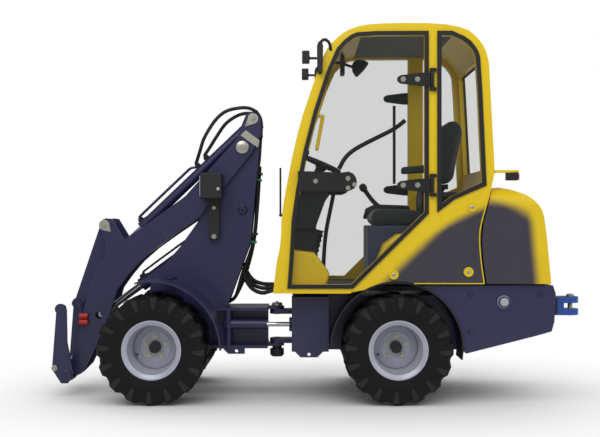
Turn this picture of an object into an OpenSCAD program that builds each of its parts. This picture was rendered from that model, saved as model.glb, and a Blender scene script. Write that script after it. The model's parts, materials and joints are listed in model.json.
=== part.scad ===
// Compact articulated wheel loader with a glass cab and a quick hitch on a single boom.
// Lengths in millimetres. +X forward, +Y to the left, +Z up. Pieces are drawn from the
// articulation pivot at x = 0 and then moved so that the origin is under the middle.

/* [Overall] */
// Distance from the articulation pivot to the front of the coupler
front_reach = 1365; // [1300:1:1450]
// Distance from the articulation pivot to the back of the tow hitch
rear_reach = 1903; // [1850:1:1980]

/* [Wheels] */
// Distance from the articulation pivot to each axle
axle_x = 714; // [700:1:730]
// Half of the track, to the middle of a tyre
track_half = 390; // [385:1:400]
// Outer radius of a tyre, at the tips of its lugs
tyre_r = 322; // [316:1:326]
// Width of a tyre
tyre_w = 305; // [290:1:308]
// Outer radius of the rim flange
rim_r = 173; // [168:1:178]
// Radius of the bead seat
rim_seat_r = 152; // [148:1:156]
// Width of the rim over its flanges
rim_w = 280; // [270:1:284]
// Radius of the rim's well
rim_well_r = 138; // [132:1:142]
// Thickness of the rim's metal
rim_t = 8; // [6:0.5:10]
// Distance of the wheel disc behind the outer flange
disc_inset = 170; // [160:1:176]
// Radius of the hole in the wheel disc
hub_hole_r = 35; // [32:0.5:38]

/* [Axles] */
// Radius of the axle housing
axle_tube_r = 48; // [40:1:56]
// Radius of the hub flange
hub_flange_r = 82; // [74:1:90]
// Thickness of the hub flange
hub_flange_t = 14; // [10:1:18]

/* [Front frame] */
// Half width of the front frame
front_half_w = 150; // [144:1:156]
// Height of the underside of the front frame
frame_z = 283; // [270:1:296]
// Height of the top of the front frame
frame_top_z = 533; // [520:1:545]
// Distance of the front frame's back edge ahead of the pivot
front_back_x = 55; // [50:1:60]
// Length of the front frame
front_l = 800; // [780:1:815]
// Thickness of the front frame's top and bottom plates
frame_plate_t = 18; // [14:1:22]
// Radius of the articulation pins
artic_pin_r = 22; // [18:0.5:26]
// Outer radius of the articulation lugs
artic_lug_r = 45; // [40:1:48]
// Thickness of an articulation lug
artic_lug_t = 30; // [24:1:34]

/* [Fenders] */
// Inner radius of a front fender
front_fender_r = 394; // [386:1:400]
// Inner radius of a rear fender
rear_fender_r = 383; // [376:1:386]
// Thickness of a fender
fender_t = 8; // [5:0.5:10]
// Distance of a fender's inner edge from the middle
fender_in_y = 236; // [230:1:242]
// Width of a front fender
front_fender_w = 306; // [290:1:310]
// Width of a rear fender
rear_fender_w = 206; // [190:1:210]

/* [Lift tower] */
// Height of the boom pivot
pivot_z = 1525; // [1510:1:1540]
// Distance of the boom pivot ahead of the articulation pivot
pivot_x = 212; // [205:1:220]
// Distance of a tower plate's outer face from the middle
tower_half_w = 95; // [92:0.5:97]
// Thickness of a tower plate
tower_t = 20; // [16:1:24]
// Length of the tower's foot on the frame
tower_foot_l = 490; // [470:1:510]
// Radius of the boom pivot pin
boom_pin_r = 28; // [24:0.5:32]

/* [Boom] */
// Horizontal distance from the boom pivot to the coupler pivot
boom_reach = 1073; // [1060:1:1085]
// Vertical distance from the boom pivot down to the coupler pivot
boom_drop = 1400; // [1390:1:1410]
// Distance of a boom plate's outer face from the middle
boom_half_w = 125; // [122:0.5:130]
// Thickness of a boom plate
boom_t = 20; // [16:1:22]
// Radius of the boom's tip around the coupler pivot
boom_tip_r = 44; // [40:1:48]
// Radius of the boom's small pins
pin_r = 22; // [18:0.5:24]

/* [Cylinders] */
// Radius of the lift cylinder's barrel
lift_barrel_r = 38; // [34:0.5:40]
// Radius of the lift cylinder's rod
lift_rod_r = 22; // [20:0.5:25]
// Length of the lift barrel from its pin to its gland
lift_barrel_l = 800; // [780:1:820]
// Radius of the tilt cylinder's barrel
tilt_barrel_r = 32; // [29:0.5:34]
// Radius of the tilt cylinder's rod
tilt_rod_r = 17; // [15:0.5:20]
// Length of the tilt barrel from its pin to its gland
tilt_barrel_l = 980; // [960:1:1000]
// Radius of the steering cylinder's barrel
steer_barrel_r = 30; // [26:0.5:31]
// Radius of the steering cylinder's rod
steer_rod_r = 14; // [12:0.5:16]
// Distance of the steering cylinder from the middle
steer_y = 130; // [126:0.5:134]
// Height of the steering cylinder
steer_z = 430; // [420:1:440]

/* [Coupler] */
// Distance of a coupler cheek's outer face from the middle
coupler_half_w = 228; // [220:1:236]
// Thickness of a coupler cheek
cheek_t = 16; // [12:1:20]
// Height of the coupler from its pivot to its top tube
coupler_h = 407; // [395:1:415]
// Radius of the coupler's top tube
top_tube_r = 25; // [21:0.5:28]
// Radius of the lock pins
lock_pin_r = 17; // [14:0.5:20]

/* [Rear frame] */
// Half width of the rear frame's front box
rear_box_half_w = 300; // [290:1:310]
// Half width of the rear frame between the wheels
rear_half_w = 200; // [190:1:210]
// Height of the top of the rear frame
rear_top_z = 612; // [600:1:622]
// Distance of the rear frame's front face behind the pivot
rear_face_x = 95; // [90:1:100]
// Half width of the counterweight
weight_half_w = 418; // [405:1:428]
// Height of the top of the counterweight
weight_top_z = 690; // [680:1:696]
// Length of the counterweight
weight_l = 539; // [525:1:545]
// Depth of the counterweight
weight_h = 402; // [390:1:410]

/* [Cab] */
// Distance of the cab's front foot ahead of the pivot
cab_front_x = 13; // [5:1:18]
// Length of the cab
cab_l = 1300; // [1285:1:1310]
// Height of the cab's foot
cab_z = 644; // [638:1:648]
// Height of the cab
cab_h = 1587; // [1560:1:1610]
// Half width of the cab
cab_half_w = 440; // [430:1:446]
// Width of a cab pillar, front to back
cab_wall = 42; // [36:1:48]
// Thickness of the cab's sides
cab_side_t = 40; // [34:1:46]
// Thickness of the glass
glass_t = 6; // [5:0.5:8]
// Half width of the front and rear windows
window_half_w = 372; // [360:1:380]

/* [Body panels] */
// Thickness of a side panel
panel_t = 36; // [30:1:38]
// Thickness of the rear hood
hood_t = 25; // [20:1:30]
// Length of the rear hood
hood_l = 408; // [396:1:416]
// Height of the rear hood
hood_h = 576; // [560:1:584]

/* [Interior] */
// Width of the seat
seat_w = 440; // [420:1:470]
// Length of the seat cushion
seat_l = 364; // [345:1:368]
// Thickness of the seat cushion
seat_t = 100; // [80:1:110]
// Radius of the steering wheel
wheel_r = 128; // [115:1:140]

/* [Hidden] */
$fn = 64;
// How far a cut runs past the face that it opens
over = 4;
// Running clearance of a pin in its bore
pin_gap = 0.3;
// Clearance between a piece and its seat
seat_gap = 0.3;
// Space between panels that part from each other
panel_gap = 8;

mid_x = (front_reach - rear_reach) / 2;

// Points of the boom's linkage in x and z
boom_pivot = [pivot_x, pivot_z];
coupler_pivot = boom_pivot + [boom_reach, -boom_drop];
tilt_pin_rise = 178;
tilt_pin_back = 66;
tilt_pin = boom_pivot + [-tilt_pin_back, tilt_pin_rise];
lift_pin_drop = 388;
lift_pin = boom_pivot + [0, -lift_pin_drop];
lift_eye_share = [0.83, 0.744];
lift_eye = boom_pivot + [lift_eye_share.x * boom_reach, -lift_eye_share.y * boom_drop];
ear_pin_share = [0.797, 0.344];
ear_pin = boom_pivot + [ear_pin_share.x * boom_reach, -ear_pin_share.y * boom_drop];
lever_arm = 519;
lever_lean = 20;
lever_end = ear_pin + lever_arm * [sin(lever_lean), -cos(lever_lean)];
lever_mid_arm = 253;
lever_mid_lean = 7.5;
lever_mid = ear_pin + lever_mid_arm * [sin(lever_mid_lean), -cos(lever_mid_lean)];
link_arm = 150;
link_lean = 35;
link_pin = coupler_pivot + link_arm * [-sin(link_lean), cos(link_lean)];

// Bands across the boom's inside, from the middle outwards
rod_eye_half_w = 34;
lever_in_y = 46;
lever_t = 16;
side_gap = 3;
link_in_y = lever_in_y + lever_t + side_gap;
link_t = 14;
horn_in_y = link_in_y + link_t + side_gap;
horn_t = 16;
boom_in_y = boom_half_w - boom_t;
barrel_eye_half_w = 60;

// Width of the disc's seat and of the wheel's hub
disc_y = track_half + rim_w / 2 - disc_inset;
hub_end_y = disc_y - rim_t - seat_gap;

function unit(v) = v / norm(v);
function left_of(u) = [-u.y, u.x];
// Moves every side of a closed outline inwards by d, for an outline that runs anticlockwise
function inset(p, d) = [for (i = [0 : len(p) - 1])
    let (n = len(p), a = p[(i + n - 1) % n], b = p[i], c = p[(i + 1) % n],
         m = left_of(unit(b - a)), k = left_of(unit(c - b)))
    b + (m + k) * d / (1 + m * k)];
function turned(p) = [for (i = [len(p) - 1 : -1 : 0]) p[i]];
function arc(c, r, from, to, steps) = [for (i = [0 : steps])
    let (a = from + (to - from) * i / steps) c + r * [cos(a), sin(a)]];
function slope(p, q) = atan2(q.y - p.y, q.x - p.x);

module at_origin() translate([-mid_x, 0, 0]) children();
module both_sides() {
    children();
    mirror([0, 1, 0]) children();
}
// A plate with an outline in x and z, between two distances from the middle
module plate(points, y0, y1) translate([0, y1, 0]) rotate([90, 0, 0])
    linear_extrude(y1 - y0) polygon(points);
// A round bar across the machine at a point in x and z
module cross(p, r, y0, y1) translate([p.x, y0, p.y]) rotate([-90, 0, 0]) cylinder(r = r, h = y1 - y0);
// A round bar in the x-z plane that leaves p towards q, from one distance to another
module along(p, q, r, from, to) translate([p.x, 0, p.y]) rotate([0, 90 - slope(p, q), 0])
    translate([0, 0, from]) cylinder(r = r, h = to - from);
module block(x0, x1, y0, y1, z0, z1) translate([x0, y0, z0]) cube([x1 - x0, y1 - y0, z1 - z0]);
module upright(x, y, z0, z1, r) translate([x, y, z0]) cylinder(r = r, h = z1 - z0);

paint = "#34345c";
yellow = "#e0c200";
black = "#1a1b20";

// Wheels

// Section of a tyre from the flange to the middle of the tread, as shares of the height above the flange,
// of the half width, of the lug's rise there and of the pitch by which the lugs lean
tread_shares = [[0.03, 0.92, 0, 0.5], [0.35, 0.985, 0, 0.5], [0.78, 0.93, 0.12, 0.5],
    [0.89, 0.8, 0.11, 0.38], [0.885, 0, 0.1, 0]];
bead_share = 0.77;
bead_lip = 14;
// Number of lugs round a tyre
lug_count = 16;
// Stations of one lug along its pitch, and how far each is raised
lug_shares = [0, 0.12, 0.55, 0.67];
lug_raised_shares = [0, 1, 1, 0];
// The lugs form a V across the tread, and the tyre is one closed skin swept round the axle
module tyre_shape() {
    pitch = 360 / lug_count;
    half_lug = (lug_shares[2] - lug_shares[1]) / 2 * pitch;
    // A lug stands on the flat between its two stations
    top_r = tyre_r / cos(half_lug);
    bead_r = (rim_seat_r + seat_gap) / cos(half_lug);
    half = concat([[bead_r, bead_r, bead_share * tyre_w / 2, tread_shares[0][3]]],
        [for (s = tread_shares) [rim_r + s[0] * (top_r - rim_r), rim_r + (s[0] + s[2]) * (top_r - rim_r),
            s[1] * tyre_w / 2, s[3]]]);
    rows = concat(half, [for (i = [len(half) - 2 : -1 : 0])
        [half[i][0], half[i][1], -half[i][2], half[i][3]]]);
    start = (lug_shares[1] + lug_shares[2]) / 2 + tread_shares[3][3];
    columns = [for (i = [0 : lug_count - 1]) for (k = [0 : len(lug_shares) - 1])
        [(i + lug_shares[k] - start) * pitch, lug_raised_shares[k]]];
    n = len(rows);
    m = len(columns);
    polyhedron([for (c = columns) for (r = rows)
        let (a = c[0] + r[3] * pitch, d = r[0] + c[1] * (r[1] - r[0])) [d * sin(a), r[2], -d * cos(a)]],
        [for (i = [0 : m - 1]) for (j = [0 : n - 1]) let (a = i * n + j, b = i * n + (j + 1) % n,
            c = ((i + 1) % m) * n + j, d = ((i + 1) % m) * n + (j + 1) % n) each [[a, b, c], [c, b, d]]]);
}
// Outer line of the rim from flange to flange, as radii and shares of the half width
module rim_shape() {
    lip_share = 1 - 2 * bead_lip / rim_w;
    line = [for (s = [[rim_r, 1], [rim_seat_r, lip_share], [rim_seat_r, 0.6], [rim_well_r, 0.2],
        [rim_well_r, -0.45], [rim_seat_r, -0.75], [rim_seat_r, -lip_share], [rim_r, -1]]) [s.x,
            s.y * rim_w / 2]];
    inner = [for (p = turned(line)) p - [rim_t, 0]];
    disc_h = rim_w / 2 - disc_inset;
    color("#b4b8c6") rotate([-90, 0, 0]) {
        rotate_extrude() polygon(concat(line, inner));
        translate([0, 0, disc_h - rim_t]) difference() {
            cylinder(r = rim_well_r - rim_t / 2, h = rim_t);
            translate([0, 0, -over]) cylinder(r = hub_hole_r, h = rim_t + 2 * over);
        }
    }
}
module left_tyre(x) color("#15151a") translate([x, track_half, tyre_r]) tyre_shape();
module right_tyre(x) color("#15151a") translate([x, -track_half, tyre_r]) tyre_shape();
module left_rim(x) translate([x, track_half, tyre_r]) rim_shape();
module right_rim(x) translate([x, -track_half, tyre_r]) mirror([0, 1, 0]) rim_shape();

// Axle halves that stand out of a frame of the given half width
hub_cap_l = 46;
module axle_halves(x, from_y) color(black) translate([x, 0, tyre_r]) both_sides() rotate([-90, 0, 0]) {
    translate([0, 0, from_y]) cylinder(r = axle_tube_r, h = hub_end_y - from_y);
    translate([0, 0, hub_end_y - hub_flange_t]) cylinder(r = hub_flange_r, h = hub_flange_t);
    translate([0, 0, hub_end_y - over]) cylinder(r = hub_hole_r - 2 * pin_gap, h = over + hub_cap_l);
}

// Front frame

web_half_w = 38;
steer_base_x = 300;
// Place of the front lashing eyes
loop_x = 230;
steer_eye_x = 110;
steer_gland = 240;
upper_lug_z = frame_top_z - frame_plate_t;
artic_span = 172;
lower_lug_z = upper_lug_z - artic_lug_t - artic_span;
axle_box_l = 420;
loop_r = 34;
loop_bore_r = 10;
front_x1 = front_back_x + front_l;
axle_box_x = front_x1 - axle_box_l - 2 * frame_plate_t;
module front_chassis() color(paint) difference() {
    union() {
        for (z = [frame_z, frame_top_z - frame_plate_t])
            block(front_back_x, front_x1, -front_half_w, front_half_w, z, z + frame_plate_t);
        block(front_back_x, axle_box_x + over, -web_half_w, web_half_w, frame_z, frame_top_z);
        block(axle_box_x, front_x1, -front_half_w, front_half_w, frame_z, frame_top_z);
        // Articulation lugs and their pins
        for (z = [upper_lug_z, frame_z]) {
            block(0, front_back_x + over, -artic_lug_r, artic_lug_r, z, z + frame_plate_t);
            upright(0, 0, z, z + frame_plate_t, artic_lug_r);
        }
        upright(0, 0, upper_lug_z - artic_lug_t - over, frame_top_z + over, artic_pin_r);
        upright(0, 0, frame_z - over, frame_z + frame_plate_t + artic_lug_t + over, artic_pin_r);
        // Base of the steering cylinder
        upright(steer_base_x, steer_y, frame_z, frame_top_z, pin_r);
        // Lashing eyes under the frame
        both_sides() plate([[loop_x - loop_r, frame_z], [loop_x - loop_r, frame_z - loop_r],
            [loop_x + 2 * loop_r, frame_z - loop_r], [loop_x + 3 * loop_r, frame_z]],
            front_half_w - frame_plate_t, front_half_w);
    }
    both_sides() cross([loop_x + loop_r / 2, frame_z - loop_r / 2], loop_bore_r,
        front_half_w - frame_plate_t - over, front_half_w + over);
}
module front_axle() axle_halves(axle_x, front_half_w);

// Tower outline, as shares of its foot and of the height from the frame to the boom pivot
tower_h = pivot_z - frame_top_z;
tower_shares = [[0, 0], [1, 0], [0.96, 0.2], [0.815, 0.255], [0.6, 0.375], [0.376, 0.53], [0.02, 0.94]];
tower_back_shares = [[-0.42, 1.03], [-0.3, 0.41]];
tower_x = 310;
tower_head_r = 64;
module lift_tower() color(paint) {
    points = [for (s = tower_shares) [tower_x + s.x * tower_foot_l, frame_top_z + s.y * tower_h]];
    back = [for (s = tower_back_shares) [tower_x + s.x * tower_foot_l, frame_top_z + s.y * tower_h]];
    both_sides() {
        plate(concat(points, back), tower_half_w - tower_t, tower_half_w);
        cross(boom_pivot, tower_head_r, tower_half_w - tower_t, tower_half_w);
    }
    cross(boom_pivot, boom_pin_r, -boom_half_w - frame_plate_t / 2, boom_half_w + frame_plate_t / 2);
    cross(lift_pin, pin_r, -tower_half_w - frame_plate_t / 2, tower_half_w + frame_plate_t / 2);
    // Cross plates that tie the two sides
    block(tower_x, tower_x + tower_foot_l, -tower_half_w, tower_half_w, frame_top_z,
        frame_top_z + tower_t);
}
// Sector of a ring around a wheel, from one angle to another above the forward line
module fender_arc(x, r, from, to, y0, y1) difference() {
    plate(concat(arc([x, tyre_r], r + fender_t, from, to, 24), turned(arc([x, tyre_r], r, from, to,
        24))), y0, y1);
}
front_fender_from = 76;
front_fender_to = 180;
stay_w = 90;
module front_fenders() color(paint) both_sides() {
    fender_arc(axle_x, front_fender_r, front_fender_from, front_fender_to, fender_in_y,
        fender_in_y + front_fender_w);
    // Stay from the tower to the fender's inner edge
    stay_z = tyre_r + front_fender_r + fender_t;
    block(axle_x - stay_w, axle_x, tower_half_w + seat_gap, fender_in_y + stay_w,
        stay_z - fender_t / 2, stay_z);
    block(axle_x - stay_w, axle_x, tower_half_w + seat_gap, tower_half_w + fender_t, stay_z - stay_w,
        stay_z);
}
lamp_w = 120;
lamp_h = 158;
lamp_d = 130;
lamp_x = 330;
lamp_z = 1204;
lamp_y = boom_half_w + 2 * panel_gap;
lamp_stay_w = 64;
lamp_stay_x = 24;
lamp_stay_drop = 250;
module headlights() color(black) both_sides() {
    stay_x = lamp_x + lamp_stay_x;
    block(lamp_x, lamp_x + lamp_d, lamp_y, lamp_y + lamp_w, lamp_z, lamp_z + lamp_h);
    block(stay_x, stay_x + lamp_stay_w, lamp_y, lamp_y + fender_t, lamp_z - lamp_stay_drop,
        lamp_z + over);
    block(stay_x, stay_x + lamp_stay_w, tower_half_w + seat_gap, lamp_y + over, lamp_z - lamp_stay_drop,
        lamp_z - lamp_stay_drop + lamp_stay_w / 2);
}
hose_r = 11;
hose_count = 3;
hose_pitch = 27;
hose_shares = [[-0.4, 0.88], [-0.32, 0.41], [-0.06, 0.06]];
clip_r = 8;
clip_reach = 60;
module tower_hoses() color(black) {
    at = [for (s = hose_shares) [tower_x + s.x * tower_foot_l - hose_r - panel_gap,
        frame_top_z + s.y * tower_h]];
    for (i = [0 : hose_count - 1]) translate([0, (i - (hose_count - 1) / 2) * hose_pitch, 0]) {
        along(at[0], at[1], hose_r, 0, norm(at[1] - at[0]));
        along(at[1], at[2], hose_r, 0, norm(at[2] - at[1]));
        translate([at[1].x, 0, at[1].y]) sphere(r = hose_r + pin_gap);
    }
    // Clips that hold the hoses between the tower's plates
    for (i = [0, 1]) {
        clip = at[i] + 0.1 * (at[i + 1] - at[i]) + [hose_r, 0];
        cross(clip, clip_r, -tower_half_w + tower_t + seat_gap, tower_half_w - tower_t - seat_gap);
        both_sides() block(clip.x, clip.x + clip_reach, tower_half_w - tower_t - clip_r,
            tower_half_w - tower_t - seat_gap, clip.y - clip_r / 2, clip.y + clip_r / 2);
    }
}

// Boom

boom_top_shares = [[0.042, -0.028], [0.208, 0.111], [0.33, 0.216], [0.462, 0.29], [0.578, 0.354],
    [0.684, 0.407], [0.755, 0.317], [0.791, 0.314], [0.827, 0.344], [0.791, 0.413], [0.791, 0.478],
    [0.853, 0.531], [0.917, 0.716], [0.945, 0.834], [0.958, 0.905], [1.034, 0.985]];
boom_under_shares = [[0.99, 1.029], [0.945, 1.005], [0.908, 0.976], [0.848, 0.879], [0.812, 0.806],
    [0.763, 0.734], [0.724, 0.631], [0.666, 0.569], [0.6, 0.51], [0.512, 0.451], [0.403, 0.391],
    [0.259, 0.316], [0.204, 0.264], [0.102, 0.174], [-0.059, 0.019], [-0.11, -0.06], [-0.105, -0.13],
    [-0.062, -0.16], [-0.02, -0.145]];
belly_shares = [[0.33, 0.332], [0.45, 0.4], [0.58, 0.476]];
belly_t = 14;
function boom_point(s) = boom_pivot + [s.x * boom_reach, -s.y * boom_drop];
module boom_arm() color(paint) difference() {
    union() {
        both_sides() {
            plate([for (s = turned(concat(boom_top_shares, boom_under_shares))) boom_point(s)],
                boom_in_y, boom_half_w);
            cross(coupler_pivot, boom_tip_r, boom_in_y, boom_half_w);
            cross(boom_pivot, 2 * boom_pin_r, boom_in_y, boom_half_w);
        }
        // Belly plate under the tilt cylinder
        under = [for (s = belly_shares) boom_point(s)];
        plate(concat([for (p = under) p - [0, belly_t]], turned(under)), -boom_in_y - over,
            boom_in_y + over);
        cross(tilt_pin, pin_r, -boom_half_w, boom_half_w);
        cross(ear_pin, pin_r, -boom_half_w, boom_half_w);
    }
    cross(boom_pivot, boom_pin_r + pin_gap, -boom_half_w - over, boom_half_w + over);
    cross(coupler_pivot, boom_pin_r + pin_gap, -boom_half_w - over, boom_half_w + over);
    both_sides() cross(lift_eye, pin_r, boom_in_y - over, boom_half_w + over);
}
aux_count = 2;
aux_r = 17;
aux_l = 52;
aux_share = [0.925, 0.745];
aux_back_share = 0.75;
module aux_couplers() color("#b02020") for (i = [0 : aux_count - 1]) {
    p = boom_point(aux_share) - [0, i * (2 * aux_r + over)];
    translate([p.x - aux_l * aux_back_share, boom_half_w + aux_r + seat_gap, p.y]) rotate([0, 90, 0])
        cylinder(r = aux_r, h = aux_l);
    block(p.x - aux_l * aux_back_share, p.x - aux_l * aux_back_share / 2, boom_half_w + seat_gap,
        boom_half_w + aux_r, p.y - aux_r / 2, p.y + aux_r / 2);
}

// Tilt linkage

lever_eye_r = 40;
rod_pin_r = 12;
lever_foot_r = 24;
module lever_side() {
    d = unit(lever_end - ear_pin);
    n = left_of(d);
    bulge_share = 0.5;
    bulge = 30;
    m = ear_pin + bulge_share * (lever_end - ear_pin) + bulge * n;
    plate([ear_pin + n * lever_eye_r * 0.9, ear_pin - n * lever_eye_r * 0.9, lever_mid - n * lever_eye_r,
        lever_end - n * lever_foot_r, lever_end + n * lever_foot_r, m], lever_in_y,
            lever_in_y + lever_t);
}
module tilt_lever() color(paint) {
    both_sides() difference() {
        union() {
            lever_side();
            cross(ear_pin, lever_eye_r, lever_in_y, lever_in_y + lever_t);
            cross(lever_end, lever_foot_r, lever_in_y, lever_in_y + lever_t);
            cross(lever_mid, lever_eye_r, lever_in_y, lever_in_y + lever_t);
        }
        cross(ear_pin, pin_r + pin_gap, lever_in_y - over, lever_in_y + lever_t + over);
    }
    // Pin that the tilt rod's eye rides on, smaller than the eye because the linkage is opened there
    cross(lever_mid, rod_pin_r, -lever_in_y - lever_t, lever_in_y + lever_t);
}
link_eye_r = 24;
link_pin_r = 14;
module tilt_link() color(paint) {
    difference() {
        cross(link_pin, link_eye_r, -link_in_y - over, link_in_y + over);
        cross(link_pin, link_pin_r + pin_gap, -link_in_y - 2 * over, link_in_y + 2 * over);
    }
    both_sides() difference() {
        union() {
            cross(lever_end, link_eye_r, link_in_y, link_in_y + link_t);
            cross(link_pin, link_eye_r, link_in_y, link_in_y + link_t);
            d = unit(lever_end - link_pin);
            n = left_of(d) * link_eye_r * 0.75;
            plate([link_pin + n, link_pin - n, lever_end - n, lever_end + n], link_in_y,
                link_in_y + link_t);
        }
        cross(link_pin, link_pin_r + pin_gap, link_in_y - over, link_in_y + link_t + over);
    }
}
cheek_shares = [[-0.04, -0.11], [0.06, -0.11], [0.1966, 0.1], [0.19, 0.2], [0.13, 1], [-0.02, 1],
    [-0.03, 0.5], [-0.12, 0.05]];
lock_share = [0.155, 0.12];
lock_point = coupler_pivot + coupler_h * lock_share;
top_tube = coupler_pivot + coupler_h * [0.075, 1];
cheek_foot_r = 42;
top_stub_l = 60;
module coupler() color(paint) difference() {
    union() {
        both_sides() {
            plate([for (s = cheek_shares) coupler_pivot + coupler_h * s], coupler_half_w - cheek_t,
                coupler_half_w);
            cross(coupler_pivot, cheek_foot_r, coupler_half_w - cheek_t, coupler_half_w);
            cross(top_tube, top_tube_r * 1.3, coupler_half_w - cheek_t, coupler_half_w);
            // Horn that the tilt link pushes, fixed to the pivot tube between the boom plates
            cross(link_pin, link_eye_r, horn_in_y, horn_in_y + horn_t);
            cross(coupler_pivot, boom_tip_r, horn_in_y, horn_in_y + horn_t);
            d = unit(link_pin - coupler_pivot);
            n = left_of(d);
            plate([coupler_pivot - n * boom_tip_r * 0.9, link_pin - n * link_eye_r * 0.9,
                link_pin + n * link_eye_r * 0.9, coupler_pivot + n * boom_tip_r * 0.9],
                horn_in_y, horn_in_y + horn_t);
        }
        cross(coupler_pivot, boom_pin_r, -coupler_half_w, coupler_half_w);
        both_sides() cross(top_tube, top_tube_r, coupler_half_w - top_stub_l, coupler_half_w);
        cross(link_pin, link_pin_r, -horn_in_y - horn_t, horn_in_y + horn_t);
    }
    both_sides() cross(lock_point, lock_pin_r + seat_gap, coupler_half_w - cheek_t - over,
        coupler_half_w + over);
}
lock_pin_l = 60;
lock_head_t = 6;
module coupler_pins() color("#c9c4a4") both_sides()
    cross(lock_point, lock_pin_r, coupler_half_w - cheek_t - lock_pin_l, coupler_half_w + lock_head_t);

// Hydraulic cylinders

lift_eye_r = 44;
module barrel(p, q, r, length, bore, eye_r, eye_pin) difference() {
    union() {
        along(p, q, r, eye_r * 0.6, length);
        along(p, q, r + over, length - 2 * r, length);
        cross(p, eye_r, -eye_pin, eye_pin);
    }
    along(p, q, bore + pin_gap, 2 * eye_r, length + over);
}
module lift_barrel() color(paint) difference() {
    barrel(lift_pin, lift_eye, lift_barrel_r, lift_barrel_l, lift_rod_r, lift_eye_r, barrel_eye_half_w);
    cross(lift_pin, pin_r + pin_gap, -barrel_eye_half_w - over, barrel_eye_half_w + over);
}
lift_rod_in = 640;
module lift_rod() color("#c8ccd2") difference() {
    union() {
        along(lift_pin, lift_eye, lift_rod_r, lift_barrel_l - lift_rod_in, norm(lift_eye - lift_pin));
        cross(lift_eye, lift_eye_r, -rod_eye_half_w, rod_eye_half_w);
    }
    cross(lift_eye, pin_r, -rod_eye_half_w - over, rod_eye_half_w + over);
}
tilt_eye_r = 42;
module tilt_barrel() color(paint) difference() {
    barrel(tilt_pin, lever_mid, tilt_barrel_r, tilt_barrel_l, tilt_rod_r, tilt_eye_r, barrel_eye_half_w);
    cross(tilt_pin, pin_r + pin_gap, -barrel_eye_half_w - over, barrel_eye_half_w + over);
}
tilt_rod_in = 400;
module tilt_rod() color("#c8ccd2") difference() {
    union() {
        along(tilt_pin, lever_mid, tilt_rod_r, tilt_barrel_l - tilt_rod_in, norm(lever_mid - tilt_pin));
        cross(lever_mid, lever_eye_r, -rod_eye_half_w, rod_eye_half_w);
    }
    cross(lever_mid, pin_r, -rod_eye_half_w - over, rod_eye_half_w + over);
}
steer_eye_r = 32;
steer_eye_t = 40;
module steer_axis() translate([steer_base_x, steer_y, steer_z]) rotate([0, -90, 0]) children();
module steer_barrel() color(paint) difference() {
    union() {
        steer_axis() translate([0, 0, steer_eye_r * 0.6]) cylinder(r = steer_barrel_r,
            h = steer_gland - steer_eye_r * 0.6);
        upright(steer_base_x, steer_y, steer_z - steer_eye_t / 2, steer_z + steer_eye_t / 2,
            steer_eye_r);
    }
    steer_axis() translate([0, 0, pin_r + over]) cylinder(r = steer_rod_r + pin_gap, h = steer_gland);
    upright(steer_base_x, steer_y, steer_z - steer_eye_t, steer_z + steer_eye_t, pin_r + pin_gap);
}
steer_rod_in = 114;
module steer_rod() color("#c8ccd2") difference() {
    union() {
        steer_axis() translate([0, 0, steer_gland - steer_rod_in])
            cylinder(r = steer_rod_r, h = steer_base_x + steer_eye_x - steer_gland + steer_rod_in);
        upright(-steer_eye_x, steer_y, steer_z - steer_eye_t / 2, steer_z + steer_eye_t / 2,
            steer_eye_r);
    }
    upright(-steer_eye_x, steer_y, steer_z - steer_eye_t, steer_z + steer_eye_t, pin_r / 2);
}

// Rear frame

pocket_half_w = 215;
pocket_x = 180;
rear_box_x = 318;
weight_x = 1112;
eye_lug_t = 16;
module rear_chassis() color(paint) difference() {
    union() {
        difference() {
            block(-rear_box_x, -rear_face_x, -rear_box_half_w, rear_box_half_w, frame_z, rear_top_z);
            block(-pocket_x, 0, -pocket_half_w, pocket_half_w, frame_z - over, rear_top_z + over);
        }
        block(-weight_x, -pocket_x, -rear_half_w, rear_half_w, frame_z, rear_top_z);
        // Articulation lugs inside the front frame's lugs
        for (z = [upper_lug_z - artic_lug_t - seat_gap, frame_z + frame_plate_t + seat_gap]) {
            block(-pocket_x - over, 0, -artic_lug_r, artic_lug_r, z, z + artic_lug_t);
            upright(0, 0, z, z + artic_lug_t, artic_lug_r);
        }
        // Bracket of the steering cylinder's rod
        for (z = [steer_z - steer_eye_t / 2 - eye_lug_t - over, steer_z + steer_eye_t / 2 + over])
            block(-pocket_x - over, -steer_eye_x + steer_eye_r, steer_y - steer_eye_r,
                steer_y + steer_eye_r, z, z + eye_lug_t);
        both_sides() plate([[-rear_box_x + loop_r, frame_z],
            [-rear_box_x + 2 * loop_r, frame_z - loop_r],
            [-rear_box_x + 5 * loop_r, frame_z - loop_r], [-rear_box_x + 6 * loop_r, frame_z]],
            rear_box_half_w - frame_plate_t, rear_box_half_w);
    }
    for (z = [upper_lug_z - artic_lug_t - seat_gap, frame_z + frame_plate_t + seat_gap])
        upright(0, 0, z - over, z + artic_lug_t + over, artic_pin_r + pin_gap);
    both_sides() cross([-rear_box_x + 3.5 * loop_r, frame_z - loop_r / 2], loop_bore_r,
        rear_box_half_w - frame_plate_t - over, rear_box_half_w + over);
}
module rear_axle() axle_halves(-axle_x, rear_half_w);
engine_l = 430;
engine_w = 360;
engine_h = 470;
engine_x = 1040;
module engine() color("#55585e") block(-engine_x - engine_l, -engine_x, -engine_w / 2, engine_w / 2,
    weight_top_z, weight_top_z + engine_h);
weight_top_share = 0.97;
weight_shares = [[0, 0], [0, 0.95], [0.02, 1], [0.77, 0.745], [0.955, 0.675], [0.985, 0.53], [1, 0.12],
    [weight_top_share, 0]];
knuckle_lug_share = 0.8;
cap_r = 34;
cheek_from = 149;
weight_cheek_t = 17;
cap_t = 22;
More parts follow.
